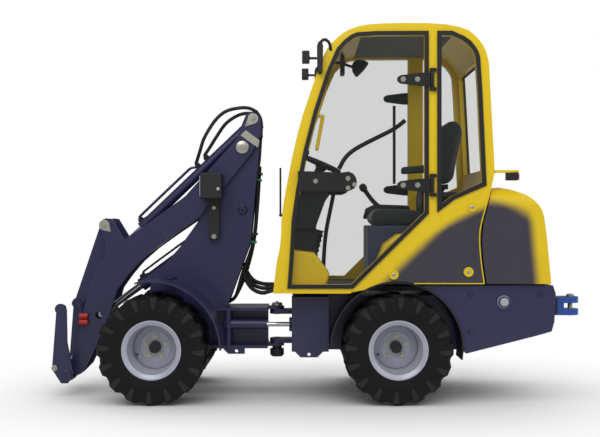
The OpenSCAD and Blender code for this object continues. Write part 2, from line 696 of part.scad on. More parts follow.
module counterweight() color(paint) {
    plate([for (s = weight_shares) [-weight_x - s.x * weight_l, weight_top_z - s.y * weight_h]],
        -weight_half_w, weight_half_w);
    cross([-weight_x - 0.43 * weight_l, weight_top_z - 0.24 * weight_h], cap_r, weight_half_w - over,
        weight_half_w + cap_t);
    both_sides() {
        // Cheek that reaches forward over the rear wheel to the fender
        difference() {
            block(-weight_x - over, -axle_x - cheek_from, weight_half_w - weight_cheek_t, weight_half_w,
                tyre_r, weight_top_z);
            cross([-axle_x, tyre_r], rear_fender_r + fender_t + seat_gap, 0, cab_half_w);
        }
        // Lugs and pin of the hood's hinge
        cross(hood_axis, knuckle_pin_r, knuckle_y - knuckle_lug_t, knuckle_y + knuckle_l + knuckle_lug_t);
        lug_r = knuckle_r * knuckle_lug_share;
        foot_x = max(hood_axis.x + lug_r, 2 * knuckle_r - weight_x - weight_top_share * weight_l);
        for (y = [knuckle_y - knuckle_lug_t, knuckle_y + knuckle_l + seat_gap]) {
            cross(hood_axis, lug_r, y, y + knuckle_lug_t - seat_gap);
            // The lug's foot reaches forward onto the weight
            block(hood_axis.x - lug_r, foot_x, y, y + knuckle_lug_t - seat_gap, weight_top_z - over,
                hood_axis.y);
        }
    }
}
hitch_w = 100;
hitch_h = 116;
hitch_pin_r = 16;
hitch_z = weight_top_z - 0.387 * weight_h;
hitch_jaw = 36;
hitch_back_x = rear_reach - hitch_w / 2;
module tow_hitch() color("#1f57c0") difference() {
    union() {
        block(-hitch_back_x, -weight_x - weight_l - seat_gap, -hitch_w / 2, hitch_w / 2,
            hitch_z - hitch_h / 2, hitch_z + hitch_h / 2);
        upright(-hitch_back_x, 0, hitch_z - hitch_h / 2, hitch_z + hitch_h / 2, hitch_w / 2);
    }
    block(-rear_reach - over, -hitch_back_x + hitch_w / 2, -hitch_w, hitch_w, hitch_z - hitch_jaw / 2,
        hitch_z + hitch_jaw / 2);
    upright(-hitch_back_x, 0, hitch_z - hitch_h, hitch_z + hitch_h, hitch_pin_r);
}
rear_fender_from = 0;
rear_fender_to = 190;
module rear_fenders() color(black) both_sides()
    fender_arc(-axle_x, rear_fender_r, rear_fender_from, rear_fender_to, fender_in_y,
        fender_in_y + rear_fender_w);

// Cab

// Outline with its corners cut, which keeps both ends
ease_share = 0.25;
function eased(p) = concat([p[0]], [for (i = [0 : len(p) - 2])
    each [p[i] + ease_share * (p[i + 1] - p[i]), p[i + 1] - ease_share * (p[i + 1] - p[i])]],
    [p[len(p) - 1]]);
function first(p, n) = [for (i = [0 : n - 1]) p[i]];
function after(p, n) = [for (i = [n : len(p) - 1]) p[i]];
function cab_point(s) = [cab_front_x - s.x * cab_l, cab_z + s.y * cab_h];
cab_shares = [[0, 0], [0.015, 0.108], [0.035, 0.188], [0.04, 0.309], [0.111, 0.604], [0.196, 0.81],
    [0.231, 0.891], [0.279, 0.939], [0.328, 0.971], [0.402, 0.993], [0.525, 1], [0.753, 0.999],
    [0.87, 0.981], [0.922, 0.947], [0.958, 0.905], [0.974, 0.854], [1, 0.449], [0.981, 0.376]];
belt_shares = [[0.981, 0.376], [0.825, 0.331], [0.748, 0.297], [0.7, 0.281], [0.348, 0.003]];
belt = [for (s = belt_shares) cab_point(s)];
cab_foot_shares = [[0.825, 0.331], [0.748, 0.297], [0.7, 0.281], [0.348, 0]];
cab_outline = [for (s = concat([cab_shares[0]], eased(first(after(cab_shares, 1), 15)),
    after(cab_shares, 16), cab_foot_shares)) cab_point(s)];
door_shares = [[0.064, 0.018], [0.076, 0.148], [0.086, 0.309], [0.155, 0.604], [0.27, 0.891],
    [0.338, 0.951], [0.392, 0.969], [0.702, 0.97], [0.702, 0.295], [0.36, 0.018]];
door_outline = [for (s = concat(eased(first(door_shares, 8)), after(door_shares, 8))) cab_point(s)];
quarter_shares = [[0.741, 0.969], [0.807, 0.969], [0.88, 0.943], [0.922, 0.901], [0.935, 0.862],
    [0.961, 0.4], [0.818, 0.349], [0.741, 0.301]];
quarter_outline = [for (s = concat([quarter_shares[0]], eased(first(after(quarter_shares, 1), 5)),
    after(quarter_shares, 6))) cab_point(s)];
seal_w = 24;
roof_cut_share = 0.975;
roof_z = cab_z + roof_cut_share * cab_h;
screen_low_share = 0.06;
screen_top_share = 0.87;
back_low_share = 0.46;
screen_back_share = [0.28, 0];
shelf_end_share = [0.951, 0.376];
foot_share = [0.2, 0];
module cab_cavity(d) plate(inset(cab_outline, d), -cab_half_w + cab_side_t, cab_half_w - cab_side_t);
module below_roof() block(-2 * cab_l, cab_l, -2 * cab_half_w, 2 * cab_half_w, 0, roof_z);
module windows_cut() {
    block(cab_point(screen_back_share).x, cab_l, -window_half_w, window_half_w,
        cab_z + screen_low_share * cab_h, cab_z + screen_top_share * cab_h);
    block(-2 * cab_l, -cab_l / 2, -window_half_w, window_half_w,
        cab_z + back_low_share * cab_h, cab_z + screen_top_share * cab_h);
}
module cab_shell() difference() {
    intersection() {
        plate(cab_outline, -cab_half_w, cab_half_w);
        below_roof();
    }
    cab_cavity(cab_wall);
    both_sides() {
        plate(inset(door_outline, seal_w), cab_half_w - cab_side_t - over, cab_half_w + over);
        plate(inset(quarter_outline, seal_w), cab_half_w - cab_side_t - over, cab_half_w + over);
    }
    windows_cut();
    // Open foot, closed by the floor piece with its riser and shelf
    block(-cab_l, cab_front_x - cab_wall, -cab_half_w + cab_side_t, cab_half_w - cab_side_t, 0,
        cab_z + 2 * cab_wall);
    block(cab_point(shelf_end_share).x, cab_point(foot_share).x, -cab_half_w + cab_side_t,
        cab_half_w - cab_side_t, 0, cab_point(shelf_end_share).y);
}
handle_shares = [[0.155, 0.668], [0.225, 0.655], [0.198, 0.535], [0.125, 0.532]];
handle_r = 11;
module cab_frame() color(yellow) {
    cab_shell();
    // Grab handle inside the left front pillar
    translate([0, cab_half_w - cab_side_t / 2, 0]) {
        at = [for (s = handle_shares) cab_point(s)];
        for (i = [0 : 2]) along(at[i], at[i + 1], handle_r, 0, norm(at[i + 1] - at[i]));
        for (i = [1, 2]) translate([at[i].x, 0, at[i].y]) sphere(r = handle_r + pin_gap);
    }
}
module cab_roof() color(yellow) difference() {
    plate(cab_outline, -cab_half_w, cab_half_w);
    below_roof();
    cab_cavity(cab_wall / 2);
}
glass_set = 10;
module cab_glass() color([0.78, 0.84, 0.84, 0.35]) {
    intersection() {
        difference() {
            plate(inset(cab_outline, glass_set), -window_half_w + seat_gap, window_half_w - seat_gap);
            plate(inset(cab_outline, glass_set + glass_t), -window_half_w, window_half_w);
        }
        windows_cut();
    }
    both_sides() plate(quarter_outline, cab_half_w + seat_gap, cab_half_w + seat_gap + glass_t);
}
floor_t = 30;
riser_share = 0.726;
// Room between the engine and the shelf above it
shelf_gap = 50.712;
shelf_z = weight_top_z + engine_h + shelf_gap + floor_t;
module cab_floor() color(black) difference() {
  union() {
    inner = cab_half_w - cab_side_t - seat_gap;
    riser_x = cab_front_x - riser_share * cab_l;
    block(riser_x, cab_front_x - cab_wall - seat_gap, -inner, inner, cab_z, cab_z + floor_t);
    block(riser_x - floor_t, riser_x + over, -inner, inner, cab_z, shelf_z);
    block(cab_front_x - 0.95 * cab_l, riser_x, -inner, inner, shelf_z - floor_t, shelf_z);
    block(-rear_box_x, -rear_face_x - floor_t, -rear_half_w, rear_half_w, rear_top_z, cab_z + over);
  }
  both_sides() cross([-axle_x, tyre_r], rear_fender_r + fender_t + panel_gap, fender_in_y - panel_gap,
      cab_half_w);
}

// Interior

seat_x = 560;
seat_base_l = 360;
seat_base_w = 420;
seat_base_top = 1040;
cab_floor_z = cab_z + floor_t;
module seat_base() color("#4b5166") block(-seat_x - seat_base_l, -seat_x, -seat_base_w / 2,
    seat_base_w / 2, cab_floor_z, seat_base_top);
back_h = 440;
back_t = 105;
back_lean = 12;
back_x = 960;
bracket_t = 24;
// Room between the shelf and the bracket of the seat's back
back_gap = 23.288;
back_z = shelf_z + back_gap + bracket_t / 2;
bracket_w = 240;
module seat() color("#1e2028") {
    block(-seat_x - seat_l, -seat_x, -seat_w / 2, seat_w / 2, seat_base_top, seat_base_top + seat_t);
    translate([-back_x, 0, back_z]) rotate([0, -back_lean, 0]) block(-back_t, 0, -seat_w / 2,
        seat_w / 2, 0, back_h);
    // Bracket from the cushion over the shelf to the back
    block(-seat_x - seat_l, -seat_x - seat_l + bracket_t, -bracket_w / 2, bracket_w / 2,
        seat_base_top + over, back_z + over);
    block(-back_x - back_t / 2, -seat_x - seat_l + over, -bracket_w / 2, bracket_w / 2,
        back_z - bracket_t / 2, back_z + over);
}
console_l = 150;
console_w = 260;
console_h = 540;
column_r = 30;
column_top = [-285, 1425];
console_x = 95;
column_foot = [-console_x - console_l / 2, cab_floor_z + console_h * 0.9];
wheel_lean = atan2(column_foot.x - column_top.x, column_top.y - column_foot.y);
module console() color(black) {
    block(-console_x - console_l, -console_x, -console_w / 2, console_w / 2, cab_floor_z,
        cab_floor_z + console_h);
    along(column_foot, column_top, column_r, 0, norm(column_top - column_foot) - column_r);
}
rim_wire_r = 13;
module steering_wheel() color(black) translate([column_top.x, 0, column_top.y])
    rotate([0, -wheel_lean, 0]) {
    rotate_extrude() translate([wheel_r - rim_wire_r, 0]) circle(r = rim_wire_r);
    translate([0, 0, -column_r + seat_gap]) cylinder(r = column_r * 1.2, h = column_r);
    for (a = [0, 120, 240]) rotate([0, 0, a + 60]) rotate([0, 90, 0]) cylinder(r = rim_wire_r / 2,
        h = wheel_r - rim_wire_r);
}
work_w = 70;
work_d = 45;
work_point_share = [0.2, 0.862];
module work_lights() color(black) both_sides() {
    p = cab_point(work_point_share);
    block(p.x + work_d, p.x + 2 * work_d, cab_half_w - 2 * work_w, cab_half_w - work_w, p.y,
        p.y + work_w);
    block(p.x, p.x + work_d + over, cab_half_w - 1.7 * work_w, cab_half_w - 1.3 * work_w,
        p.y + work_w / 3, p.y + work_w / 2);
}
ledge_l = 140;
rear_lamp_w = 40;
rear_lamp_h = 44;
rear_lamp_z = 1308;
module rear_lamps() color(black) both_sides() {
    x = cab_front_x - cab_l;
    y1 = cab_half_w;
    block(x - ledge_l, x - seat_gap, y1 - rear_lamp_w / 2, y1, rear_lamp_z + rear_lamp_h,
        rear_lamp_z + rear_lamp_h + over * 3);
    block(x - ledge_l, x - ledge_l / 2, y1 - rear_lamp_w, y1, rear_lamp_z,
        rear_lamp_z + rear_lamp_h + over);
}
mirror_w = 100;
mirror_h = 120;
mirror_t = 26;
mirror_drop = 80;
mirror_x = 400;
module mirror_head() color(black) {
    block(-mirror_x - mirror_t, -mirror_x, -mirror_w / 2, mirror_w / 2,
        roof_z - mirror_drop - mirror_h, roof_z - mirror_drop);
    intersection() {
        upright(-mirror_x - mirror_t / 2, 0, roof_z - mirror_drop - over, roof_z, mirror_t / 4);
        cab_cavity(cab_wall + seat_gap);
    }
}
wiper_l = 300;
wiper_r = 6;
wiper_low_share = 0.29;
module wiper() color(black) {
    p = cab_point([0.04, wiper_low_share]);
    translate([p.x + 3 * wiper_r, 0, p.y]) {
        cylinder(r = wiper_r, h = wiper_l);
        rotate([0, -90, 0]) cylinder(r = 1.5 * wiper_r, h = 3 * wiper_r + glass_set - 5 * seat_gap);
        sphere(r = 1.5 * wiper_r);
    }
}

// Body panels

module wheel_arch_cut() cross([-axle_x, tyre_r], rear_fender_r + fender_t + seat_gap, 0,
    cab_half_w + over);
seam_shares = [[1, 0], [0.94, 0.35], [0.93, 0.53], [0.94, 0.76], [0.963, 1]];
panel_low_z = 697;
module side_panels() color(yellow) both_sides() difference() {
    top_z = belt[0].y;
    rear_x = belt[0].x;
    front_x = belt[4].x;
    seam = [for (s = seam_shares) [front_x + s.x * (rear_x - front_x),
        top_z - s.y * (top_z - panel_low_z)]];
    plate(concat(seam, [[-axle_x, panel_low_z], belt[4], belt[3], belt[2], belt[1]]),
        cab_half_w - panel_t, cab_half_w);
    plate(inset(cab_outline, -seat_gap), cab_half_w - panel_t - over, cab_half_w + over);
    wheel_arch_cut();
}
hood_x = 1203;
hood_top_shares = [[0.15, 0.95], [0.228, 1], [0.463, 0.967], [0.696, 0.901], [0.853, 0.79],
    [0.914, 0.646], [1, 0.005]];
hood_front_shares = [[0.072, 0.005], [0.025, 0.23], [0.003, 0.45], [0.025, 0.62]];
hood_z = 697;
// Radius that rounds the hood's sides into its top
hood_round = 120;
grille_count = 6;
grille_shares = [0.15, 0.6];
grille_slot_share = 0.45;
// Hinge at the foot of the hood's back, on lugs of the counterweight
knuckle_r = 15;
knuckle_pin_r = 7;
knuckle_y = 200;
knuckle_l = 80;
knuckle_lug_t = 14;
knuckle_in = 8;
knuckle_rise = 15;
hood_axis = [-hood_x - panel_gap - hood_l + knuckle_in, hood_z + knuckle_rise];
function hood_point(s) = [-hood_x - panel_gap - s.x * hood_l, hood_z + s.y * hood_h];
// Section across the machine with rounded upper corners, drawn in y and z and run along x
module hood_section(half_w, top, r) translate([-2 * cab_l, 0, 0])
    rotate([90, 0, 90]) linear_extrude(2 * cab_l)
    polygon(concat([[half_w, 0]], arc([half_w - r, top - r], r, 0, 90, 12),
        arc([r - half_w, top - r], r, 90, 180, 12), [[-half_w, 0]]));
module hood() color(yellow) difference() {
    top_shares = eased(hood_top_shares);
    outline = [for (s = concat(top_shares, hood_front_shares)) hood_point(s)];
    top = hood_z + hood_h;
    union() {
        intersection() {
            plate(outline, -cab_half_w, cab_half_w);
            hood_section(cab_half_w, top, hood_round);
        }
        both_sides() cross(hood_axis, knuckle_r, knuckle_y, knuckle_y + knuckle_l);
    }
    difference() {
      intersection() {
        plate(concat([for (i = [0 : len(top_shares) - 1]) inset(outline, hood_t)[i]],
            [hood_point([0.95, -0.2]), hood_point([-0.5, -0.2]), hood_point([-0.5, 0.9])]),
            -cab_half_w + hood_t, cab_half_w - hood_t);
        hood_section(cab_half_w - hood_t, top - hood_t, hood_round - hood_t);
      }
      both_sides() cross(hood_axis, knuckle_r, knuckle_y, knuckle_y + knuckle_l);
    }
    // Bore of the hinge and room for the lugs beside each knuckle
    both_sides() {
        cross(hood_axis, knuckle_pin_r + pin_gap, knuckle_y - over, knuckle_y + knuckle_l + over);
        for (y = [knuckle_y - knuckle_lug_t - panel_gap, knuckle_y + knuckle_l])
            cross(hood_axis, 2 * knuckle_r, y, y + knuckle_lug_t + panel_gap);
    }
    // Ventilation slots in the back
    for (i = [0 : grille_count - 1]) {
        z = hood_z + (grille_shares[0] + (grille_shares[1] - grille_shares[0])
            * i / (grille_count - 1)) * hood_h;
        block(-hood_x - 2 * hood_l, -hood_x - hood_l * 0.8, -cab_half_w * 0.6, cab_half_w * 0.6, z,
            z + grille_slot_share * (grille_shares[1] - grille_shares[0]) * hood_h / grille_count);
    }
}

// Doors

hinge_x_share = 0.716;
hinge_r = 12;
hinge_h = 80;
hinge_z_shares = [0.79, 0.4];
strap_l = 205;
strap_t = 13;
door_y = cab_half_w + seat_gap;
hinge_y = door_y + glass_t + hinge_r;
hinge_x = cab_front_x - hinge_x_share * cab_l;
module door_pane() color([0.78, 0.84, 0.84, 0.35]) plate(door_outline, door_y, door_y + glass_t);
latch_share = [0.112, 0.415];
latch_l = 345;
latch_h = 118;
latch_t = 26;
// Outline of a hinge strap from the hinge to its round nose, as shares of its length and height
strap_shares = [[0.02, -0.5], [0.35, -0.48], [0.9, -0.3], [0.985, -0.16], [1, 0], [0.985, 0.16],
    [0.9, 0.3], [0.35, 0.48], [0.02, 0.5]];
// Outline of the latch from the door's edge to its round end
latch_shares = [[-1, -0.1], [-0.985, 0.16], [-0.94, 0.36], [-0.86, 0.47], [-0.74, 0.42],
    [0, 0.5], [0, -0.5], [-0.86, -0.5], [-0.96, -0.36]];
module door_metal() color(black) {
    for (s = hinge_z_shares) {
        z = cab_z + s * cab_h;
        upright(hinge_x, hinge_y, z - hinge_h / 2 - over, z + hinge_h / 2 + over, hinge_r);
        plate([for (p = strap_shares) [hinge_x + p.x * strap_l, z + p.y * hinge_h]],
            door_y + glass_t, door_y + glass_t + strap_t);
    }
    p = cab_point(latch_share);
    plate([for (s = turned(latch_shares)) p + [s.x * latch_l, s.y * latch_h]], door_y + glass_t,
        door_y + glass_t + latch_t);
}
module left_door_glass() door_pane();
module right_door_glass() mirror([0, 1, 0]) door_pane();
module left_door_metal() door_metal();
module right_door_metal() mirror([0, 1, 0]) door_metal();

at_origin() rear_chassis();
at_origin() rear_axle();
at_origin() engine();
at_origin() counterweight();
at_origin() tow_hitch();
at_origin() rear_fenders();
at_origin() side_panels();
at_origin() cab_frame();
at_origin() cab_roof();
at_origin() cab_glass();
at_origin() cab_floor();
at_origin() seat();
at_origin() seat_base();
at_origin() console();
at_origin() steering_wheel();
at_origin() work_lights();
at_origin() rear_lamps();
at_origin() mirror_head();  // mirror
at_origin() wiper();
at_origin() front_chassis();
at_origin() lift_tower();
at_origin() front_axle();
at_origin() front_fenders();
at_origin() headlights();
at_origin() tower_hoses();
at_origin() boom_arm();
at_origin() aux_couplers();
at_origin() tilt_lever();
at_origin() tilt_link();
at_origin() coupler();
at_origin() coupler_pins();
at_origin() lift_barrel();
at_origin() lift_rod();
at_origin() tilt_barrel();
at_origin() tilt_rod();
at_origin() steer_barrel();
at_origin() steer_rod();
at_origin() left_tyre(axle_x);  // tyre_front_left
at_origin() right_tyre(axle_x);  // tyre_front_right
at_origin() left_tyre(-axle_x);  // tyre_rear_left
at_origin() right_tyre(-axle_x);  // tyre_rear_right
at_origin() left_rim(axle_x);  // rim_front_left
at_origin() right_rim(axle_x);  // rim_front_right
at_origin() left_rim(-axle_x);  // rim_rear_left
at_origin() right_rim(-axle_x);  // rim_rear_right
at_origin() left_door_glass();
at_origin() right_door_glass();
at_origin() left_door_metal();
at_origin() right_door_metal();
at_origin() hood();
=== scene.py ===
"""A compact articulated wheel loader with a glazed cab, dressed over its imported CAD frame.

Lengths are millimetres from the articulation pivot: x forward, y to the driver's left, z up
from the ground. at() turns them into the frame's metres.
"""

import json
import math

import bmesh
import bpy
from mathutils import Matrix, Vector


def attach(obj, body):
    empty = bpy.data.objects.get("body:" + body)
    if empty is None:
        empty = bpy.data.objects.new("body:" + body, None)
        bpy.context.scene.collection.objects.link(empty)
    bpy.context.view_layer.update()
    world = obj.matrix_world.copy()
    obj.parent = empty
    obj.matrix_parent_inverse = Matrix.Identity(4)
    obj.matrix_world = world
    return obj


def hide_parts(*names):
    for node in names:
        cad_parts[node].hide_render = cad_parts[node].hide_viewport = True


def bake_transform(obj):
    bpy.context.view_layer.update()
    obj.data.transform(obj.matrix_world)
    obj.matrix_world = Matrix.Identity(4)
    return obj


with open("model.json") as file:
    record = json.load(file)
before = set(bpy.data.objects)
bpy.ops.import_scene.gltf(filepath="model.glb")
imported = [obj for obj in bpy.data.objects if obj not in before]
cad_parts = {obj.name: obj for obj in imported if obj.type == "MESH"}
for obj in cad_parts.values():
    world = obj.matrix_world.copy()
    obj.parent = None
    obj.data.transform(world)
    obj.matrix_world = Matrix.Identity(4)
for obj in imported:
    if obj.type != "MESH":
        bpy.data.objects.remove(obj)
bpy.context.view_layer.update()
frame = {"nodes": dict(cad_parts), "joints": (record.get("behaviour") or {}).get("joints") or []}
nodes = frame["nodes"]
scene = bpy.context.scene
scene.view_settings.view_transform = "Standard"

# Camera: level and square to the machine's left side, about six metres off,
# with its height at the middle of the picture.
joint_places = {j["name"]: j.get("pos_m") for j in frame["joints"]}
pivot_x = joint_places["articulation"][0]


def at(x, y, z):
    """A point in millimetres from the articulation pivot, in the frame's metres."""
    return Vector((pivot_x + x / 1000, y / 1000, z / 1000))


eye = bpy.data.cameras.new("photo_camera")
eye.lens = 56.9
eye.sensor_width = 36
eye.clip_end = 200
camera = bpy.data.objects.new("photo_camera", eye)
camera.location = at(-145, 6000, 1084)
camera.rotation_euler = (math.radians(90), 0, math.radians(180))
scene.collection.objects.link(camera)
scene.camera = camera

# Tyres: bias-ply farm tyres moulded in carbon-black rubber, with bar lugs that run out over
# the shoulders. The rubber is nearly black and dull, and greyer where dust settles low down.
dust_colour, dust_top_m, dust_patch_mm = "#8d8578", 0.9, 111.1
gloss_patch_mm = 25
bump_mm, weld_mm = 1, 0.02
crease_angle = 38


def add(tree, kind, settings=None, **inputs):
    """One shader node with its settings, constants and links; i3 is its input number 3."""
    node = tree.nodes.new("ShaderNode" + kind)
    for name, value in (settings or {}).items():
        setattr(node, name, value)
    for name, value in inputs.items():
        key = int(name[1:]) if name[1:].isdigit() else name.replace("_", " ")
        if isinstance(value, bpy.types.NodeSocket):
            tree.links.new(value, node.inputs[key])
        else:
            node.inputs[key].default_value = value
    return node


def linear(code):
    """Linear colour of an sRGB hex code."""
    parts = [int(code[i : i + 2], 16) / 255 for i in (1, 3, 5)]
    return (*[c / 12.92 if c < 0.04045 else ((c + 0.055) / 1.055) ** 2.4 for c in parts], 1)


def material(name):
    """An empty node material with its output node."""
    made = bpy.data.materials.new(name)
    made.use_nodes = True
    made.node_tree.nodes.clear()
    return made, made.node_tree, made.node_tree.nodes.new("ShaderNodeOutputMaterial")


def drifting(tree, code, drift_mm, spread):
    """A colour that drifts lighter and darker over patches of that size."""
    base = linear(code)
    place = add(tree, "TexCoord").outputs["Object"]
    noise = add(tree, "TexNoise", Vector=place, Scale=1000 / drift_mm, Detail=6.0, Roughness=0.6)
    low = (*[c * (1 - spread) for c in base[:3]], 1)
    high = (*[min(1, c * (1 + spread) + 0.004) for c in base[:3]], 1)
    mix = add(tree, "Mix", {"data_type": "RGBA"}, Factor=noise.outputs["Fac"], i6=low, i7=high)
    return mix.outputs[2], place


def surface(tree, out, colour, place, rough, grain_mm, depth, sockets):
    """The shader: a gloss that varies in patches, and a bump as coarse as it needs to show."""
    spots = add(tree, "TexNoise", Vector=place, Scale=1000 / gloss_patch_mm, Detail=5.0)
    finish = add(tree, "MapRange", Value=spots.outputs["Fac"], i3=rough - 0.06, i4=rough + 0.08)
    fine = add(tree, "TexNoise", Vector=place, Scale=1000 / grain_mm, Detail=3.0)
    bump = add(tree, "Bump", Strength=depth, Distance=bump_mm / 1000, Height=fine.outputs["Fac"])
    made = add(tree, "BsdfPrincipled", Base_Color=colour, Roughness=finish.outputs[0],
               Normal=bump.outputs[0], **sockets)
    tree.links.new(made.outputs[0], out.inputs[0])


def finish_of(name, slot, code, rough, grain_mm, depth, spread=0.08, drift_mm=250, dust=0.0,
              **sockets):
    """A coloured finish, with dust that thickens towards the ground where it is asked for."""
    made, tree, out = material(name)
    colour, place = drifting(tree, code, drift_mm, spread)
    if dust:
        height = add(tree, "SeparateXYZ", Vector=place).outputs["Z"]
        low = add(tree, "MapRange", Value=height, i1=dust_top_m, i2=0.0, i3=0.0, i4=dust)
        patch = add(tree, "TexNoise", Vector=place, Scale=1000 / dust_patch_mm, Detail=8.0,
                    Roughness=0.7)
        share = add(tree, "Math", {"operation": "MULTIPLY"}, i0=low.outputs[0],
                    i1=patch.outputs["Fac"])
        mix = add(tree, "Mix", {"data_type": "RGBA"}, Factor=share.outputs[0], i6=colour,
                  i7=linear(dust_colour))
        colour = mix.outputs[2]
    surface(tree, out, colour, place, rough, grain_mm, depth, sockets)
    return made


def round_edges(thing, width, segments, angle):
    """Rounds the edges sharper than an angle in degrees by a width in millimetres."""
    edge = thing.modifiers.new("round", "BEVEL")
    edge.width = width / 1000
    edge.segments = segments
    edge.limit_method = "ANGLE"
    edge.angle_limit = math.radians(angle)


def dress(look, names, edge=0.0):
    """Gives CAD pieces their finish, and their sharp edges a round of that many millimetres."""
    for name in names.split():
        part = nodes[name]
        part.data.materials.clear()
        part.data.materials.append(look)
        if edge:
            weld = part.modifiers.new("weld", "WELD")
            weld.merge_threshold = weld_mm / 1000
            round_edges(part, edge, segments=3, angle=40)


def piece(name, shapes, look, body, soft=0.0):
    """One object from shapes, with its look, riding on a body; soft rounds its edges."""
    points, faces = [], []
    for more, sides in shapes:
        start = len(points)
        points += more
        faces += [tuple(start + i for i in side) for side in sides]
    mesh = bpy.data.meshes.new(name)
    mesh.from_pydata(points, [], faces)
    form = bmesh.new()
    form.from_mesh(mesh)
    bmesh.ops.recalc_face_normals(form, faces=form.faces)
    form.to_mesh(mesh)
    form.free()
    mesh.shade_smooth()
    mesh.set_sharp_from_angle(angle=math.radians(crease_angle))
    mesh.materials.append(look)
    made = bpy.data.objects.new(name, mesh)
    scene.collection.objects.link(made)
    if soft:
        round_edges(made, soft, segments=2, angle=50)
    if body:
        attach(made, body)
    return made


rubber = finish_of("moulded_tyre_rubber", "rubber", "#08080b", rough=0.5, grain_mm=4, depth=0.25,
                   spread=0.25, drift_mm=70, dust=0.03, Specular_IOR_Level=0.22)
# The bars are a lighter, bluer rubber than the walls: a painted highlight on the lug ends.
lug_highlight_rubber = finish_of("lug_rubber_painted_highlight", "rubber", "#0f0f14", rough=0.45, grain_mm=4, depth=0.25,
                        spread=0.25, drift_mm=70, dust=0.04)
wheels = ["%s_%s" % (end, hand) for end in ("front", "rear") for hand in ("left", "right")]
dress(rubber, " ".join("tyre_" + wheel for wheel in wheels), edge=5)
lug_count, lug_phase_share = 16, 0.12
# Stations of a bar: radius, half width, the wall's distance from the tyre's middle, and rise.
bar_stations = ((238, 11, 148.6, 0.4), (262, 17, 145.4, 5), (306, 23, 141, 5))
bar_root, bar_slope = 8, 4


def joint_at(name):
    """Where a joint of the frame turns, in millimetres from the articulation pivot."""
    x, y, z = joint_places[name]
    return (x - pivot_x) * 1000, y * 1000, z * 1000


def shoulder_bar(hub, face, turn):
    """One bar on a wall of the tyre at a hub, turned that far round it."""
    x, y, z = hub
    points = []
    for r, half, wall, rise in bar_stations:
        for w, out in ((-half, wall - bar_root), (half, wall - bar_root),
                       (half - bar_slope, wall + rise), (bar_slope - half, wall + rise)):
            points.append(at(x + r * math.sin(turn) + w * math.cos(turn), y + face * out,
                             z - r * math.cos(turn) + w * math.sin(turn)))
    rings = [(i + j, i + (j + 1) % 4, i + 4 + (j + 1) % 4, i + 4 + j)
             for i in (0, 4) for j in range(4)]
    return points, [(0, 1, 2, 3), (8, 9, 10, 11), *rings]


turns = [math.radians(360 / lug_count * (k + lug_phase_share)) for k in range(lug_count)]
for wheel in wheels:
    hub = joint_at("spin_" + wheel)
    bars = [shoulder_bar(hub, face, a) for a in turns for face in (1, -1)]
    # The bars carry the painted highlight.
    piece("shoulder_bars_" + wheel, bars, lug_highlight_rubber, "wheel_" + wheel)

# Rims: pressed steel discs welded into rolled rims, each held by five nuts, with a rubber valve.
# Silver spray paint shows a faint metal flake, and zinc plate a warm, patchy grey shine.
silver = finish_of("silver_rim_paint", "rim", "#b2b6c4", rough=0.34, grain_mm=2, depth=0.05,
                   spread=0.05, dust=0.08, Metallic=0.2)
zinc = finish_of("zinc_plate", "zinc", "#bdbcb0", rough=0.34, grain_mm=3, depth=0.08, spread=0.12,
                 drift_mm=40, Metallic=0.75)
# Extruded rubber is matt, and a little paler than the tyres.
hose_rubber = finish_of("extruded_hose_rubber", "hose", "#131417", rough=0.6, grain_mm=2, depth=0.2,
                        spread=0.2)
dress(silver, " ".join("rim_" + wheel for wheel in wheels))
disc_y = 360
nut_count, nut_ring_r, nut_r, nut_phase = 5, 62, 12, 0.3
valve_x, valve_drop, valve_sunk = 105, 44, 2
valve_profile = [(5, 0), (5, 30), (3.5, 32), (3.5, 40)]
press_profile = [(130, 0), (126, 5), (98, 10), (92, 5), (90, 0.5)]


def lathe(profile, foot, axis, sides):
    """A turned shape: radii and heights along an axis from its foot."""
    up = Vector(axis).normalized()
    side = up.orthogonal().normalized()
    other = up.cross(side)
    turn = [2 * math.pi * k / sides for k in range(sides)]
    points = [at(*foot) + (up * h + (side * math.cos(a) + other * math.sin(a)) * r) / 1000
              for r, h in profile for a in turn]
    faces = []
    for i in range(0, len(points) - sides, sides):
        for k in range(sides):
            j = (k + 1) % sides
            faces.append((i + k, i + j, i + sides + j, i + sides + k))
    last = len(points)
    return points, faces + [tuple(range(sides)), tuple(range(last - sides, last))]


def bolt(foot, axis, r):
    """A washer and a hexagon head, in shares of the head's radius."""
    washer = [(1.7 * r, 0), (1.7 * r, 0.3 * r), (1.6 * r, 0.38 * r)]
    head = [(r, 0.3 * r), (1.1 * r, 0.42 * r), (1.1 * r, 0.9 * r), (0.9 * r, 1.1 * r)]
    return [lathe(washer, foot, axis, sides=24), lathe(head, foot, axis, sides=6)]


for wheel in wheels:
    x, y, hub_z = joint_at("spin_" + wheel)
    side = 1 if y > 0 else -1
    out_way = (0, side, 0)
    nuts = []
    for k in range(nut_count):
        a = 2 * math.pi * k / nut_count + nut_phase
        place = (x + nut_ring_r * math.cos(a), side * disc_y, hub_z + nut_ring_r * math.sin(a))
        nuts += bolt(place, out_way, nut_r)
    piece("nuts_" + wheel, nuts, zinc, "wheel_" + wheel)
    valve_foot = (x + valve_x, side * (disc_y - valve_sunk), hub_z - valve_drop)
    piece("valve_" + wheel, [lathe(valve_profile, valve_foot, out_way, sides=14)], hose_rubber,
          "wheel_" + wheel)
    press = lathe(press_profile, (x, side * disc_y, hub_z), out_way, sides=48)
    piece("disc_press_" + wheel, [press], silver, "wheel_" + wheel)

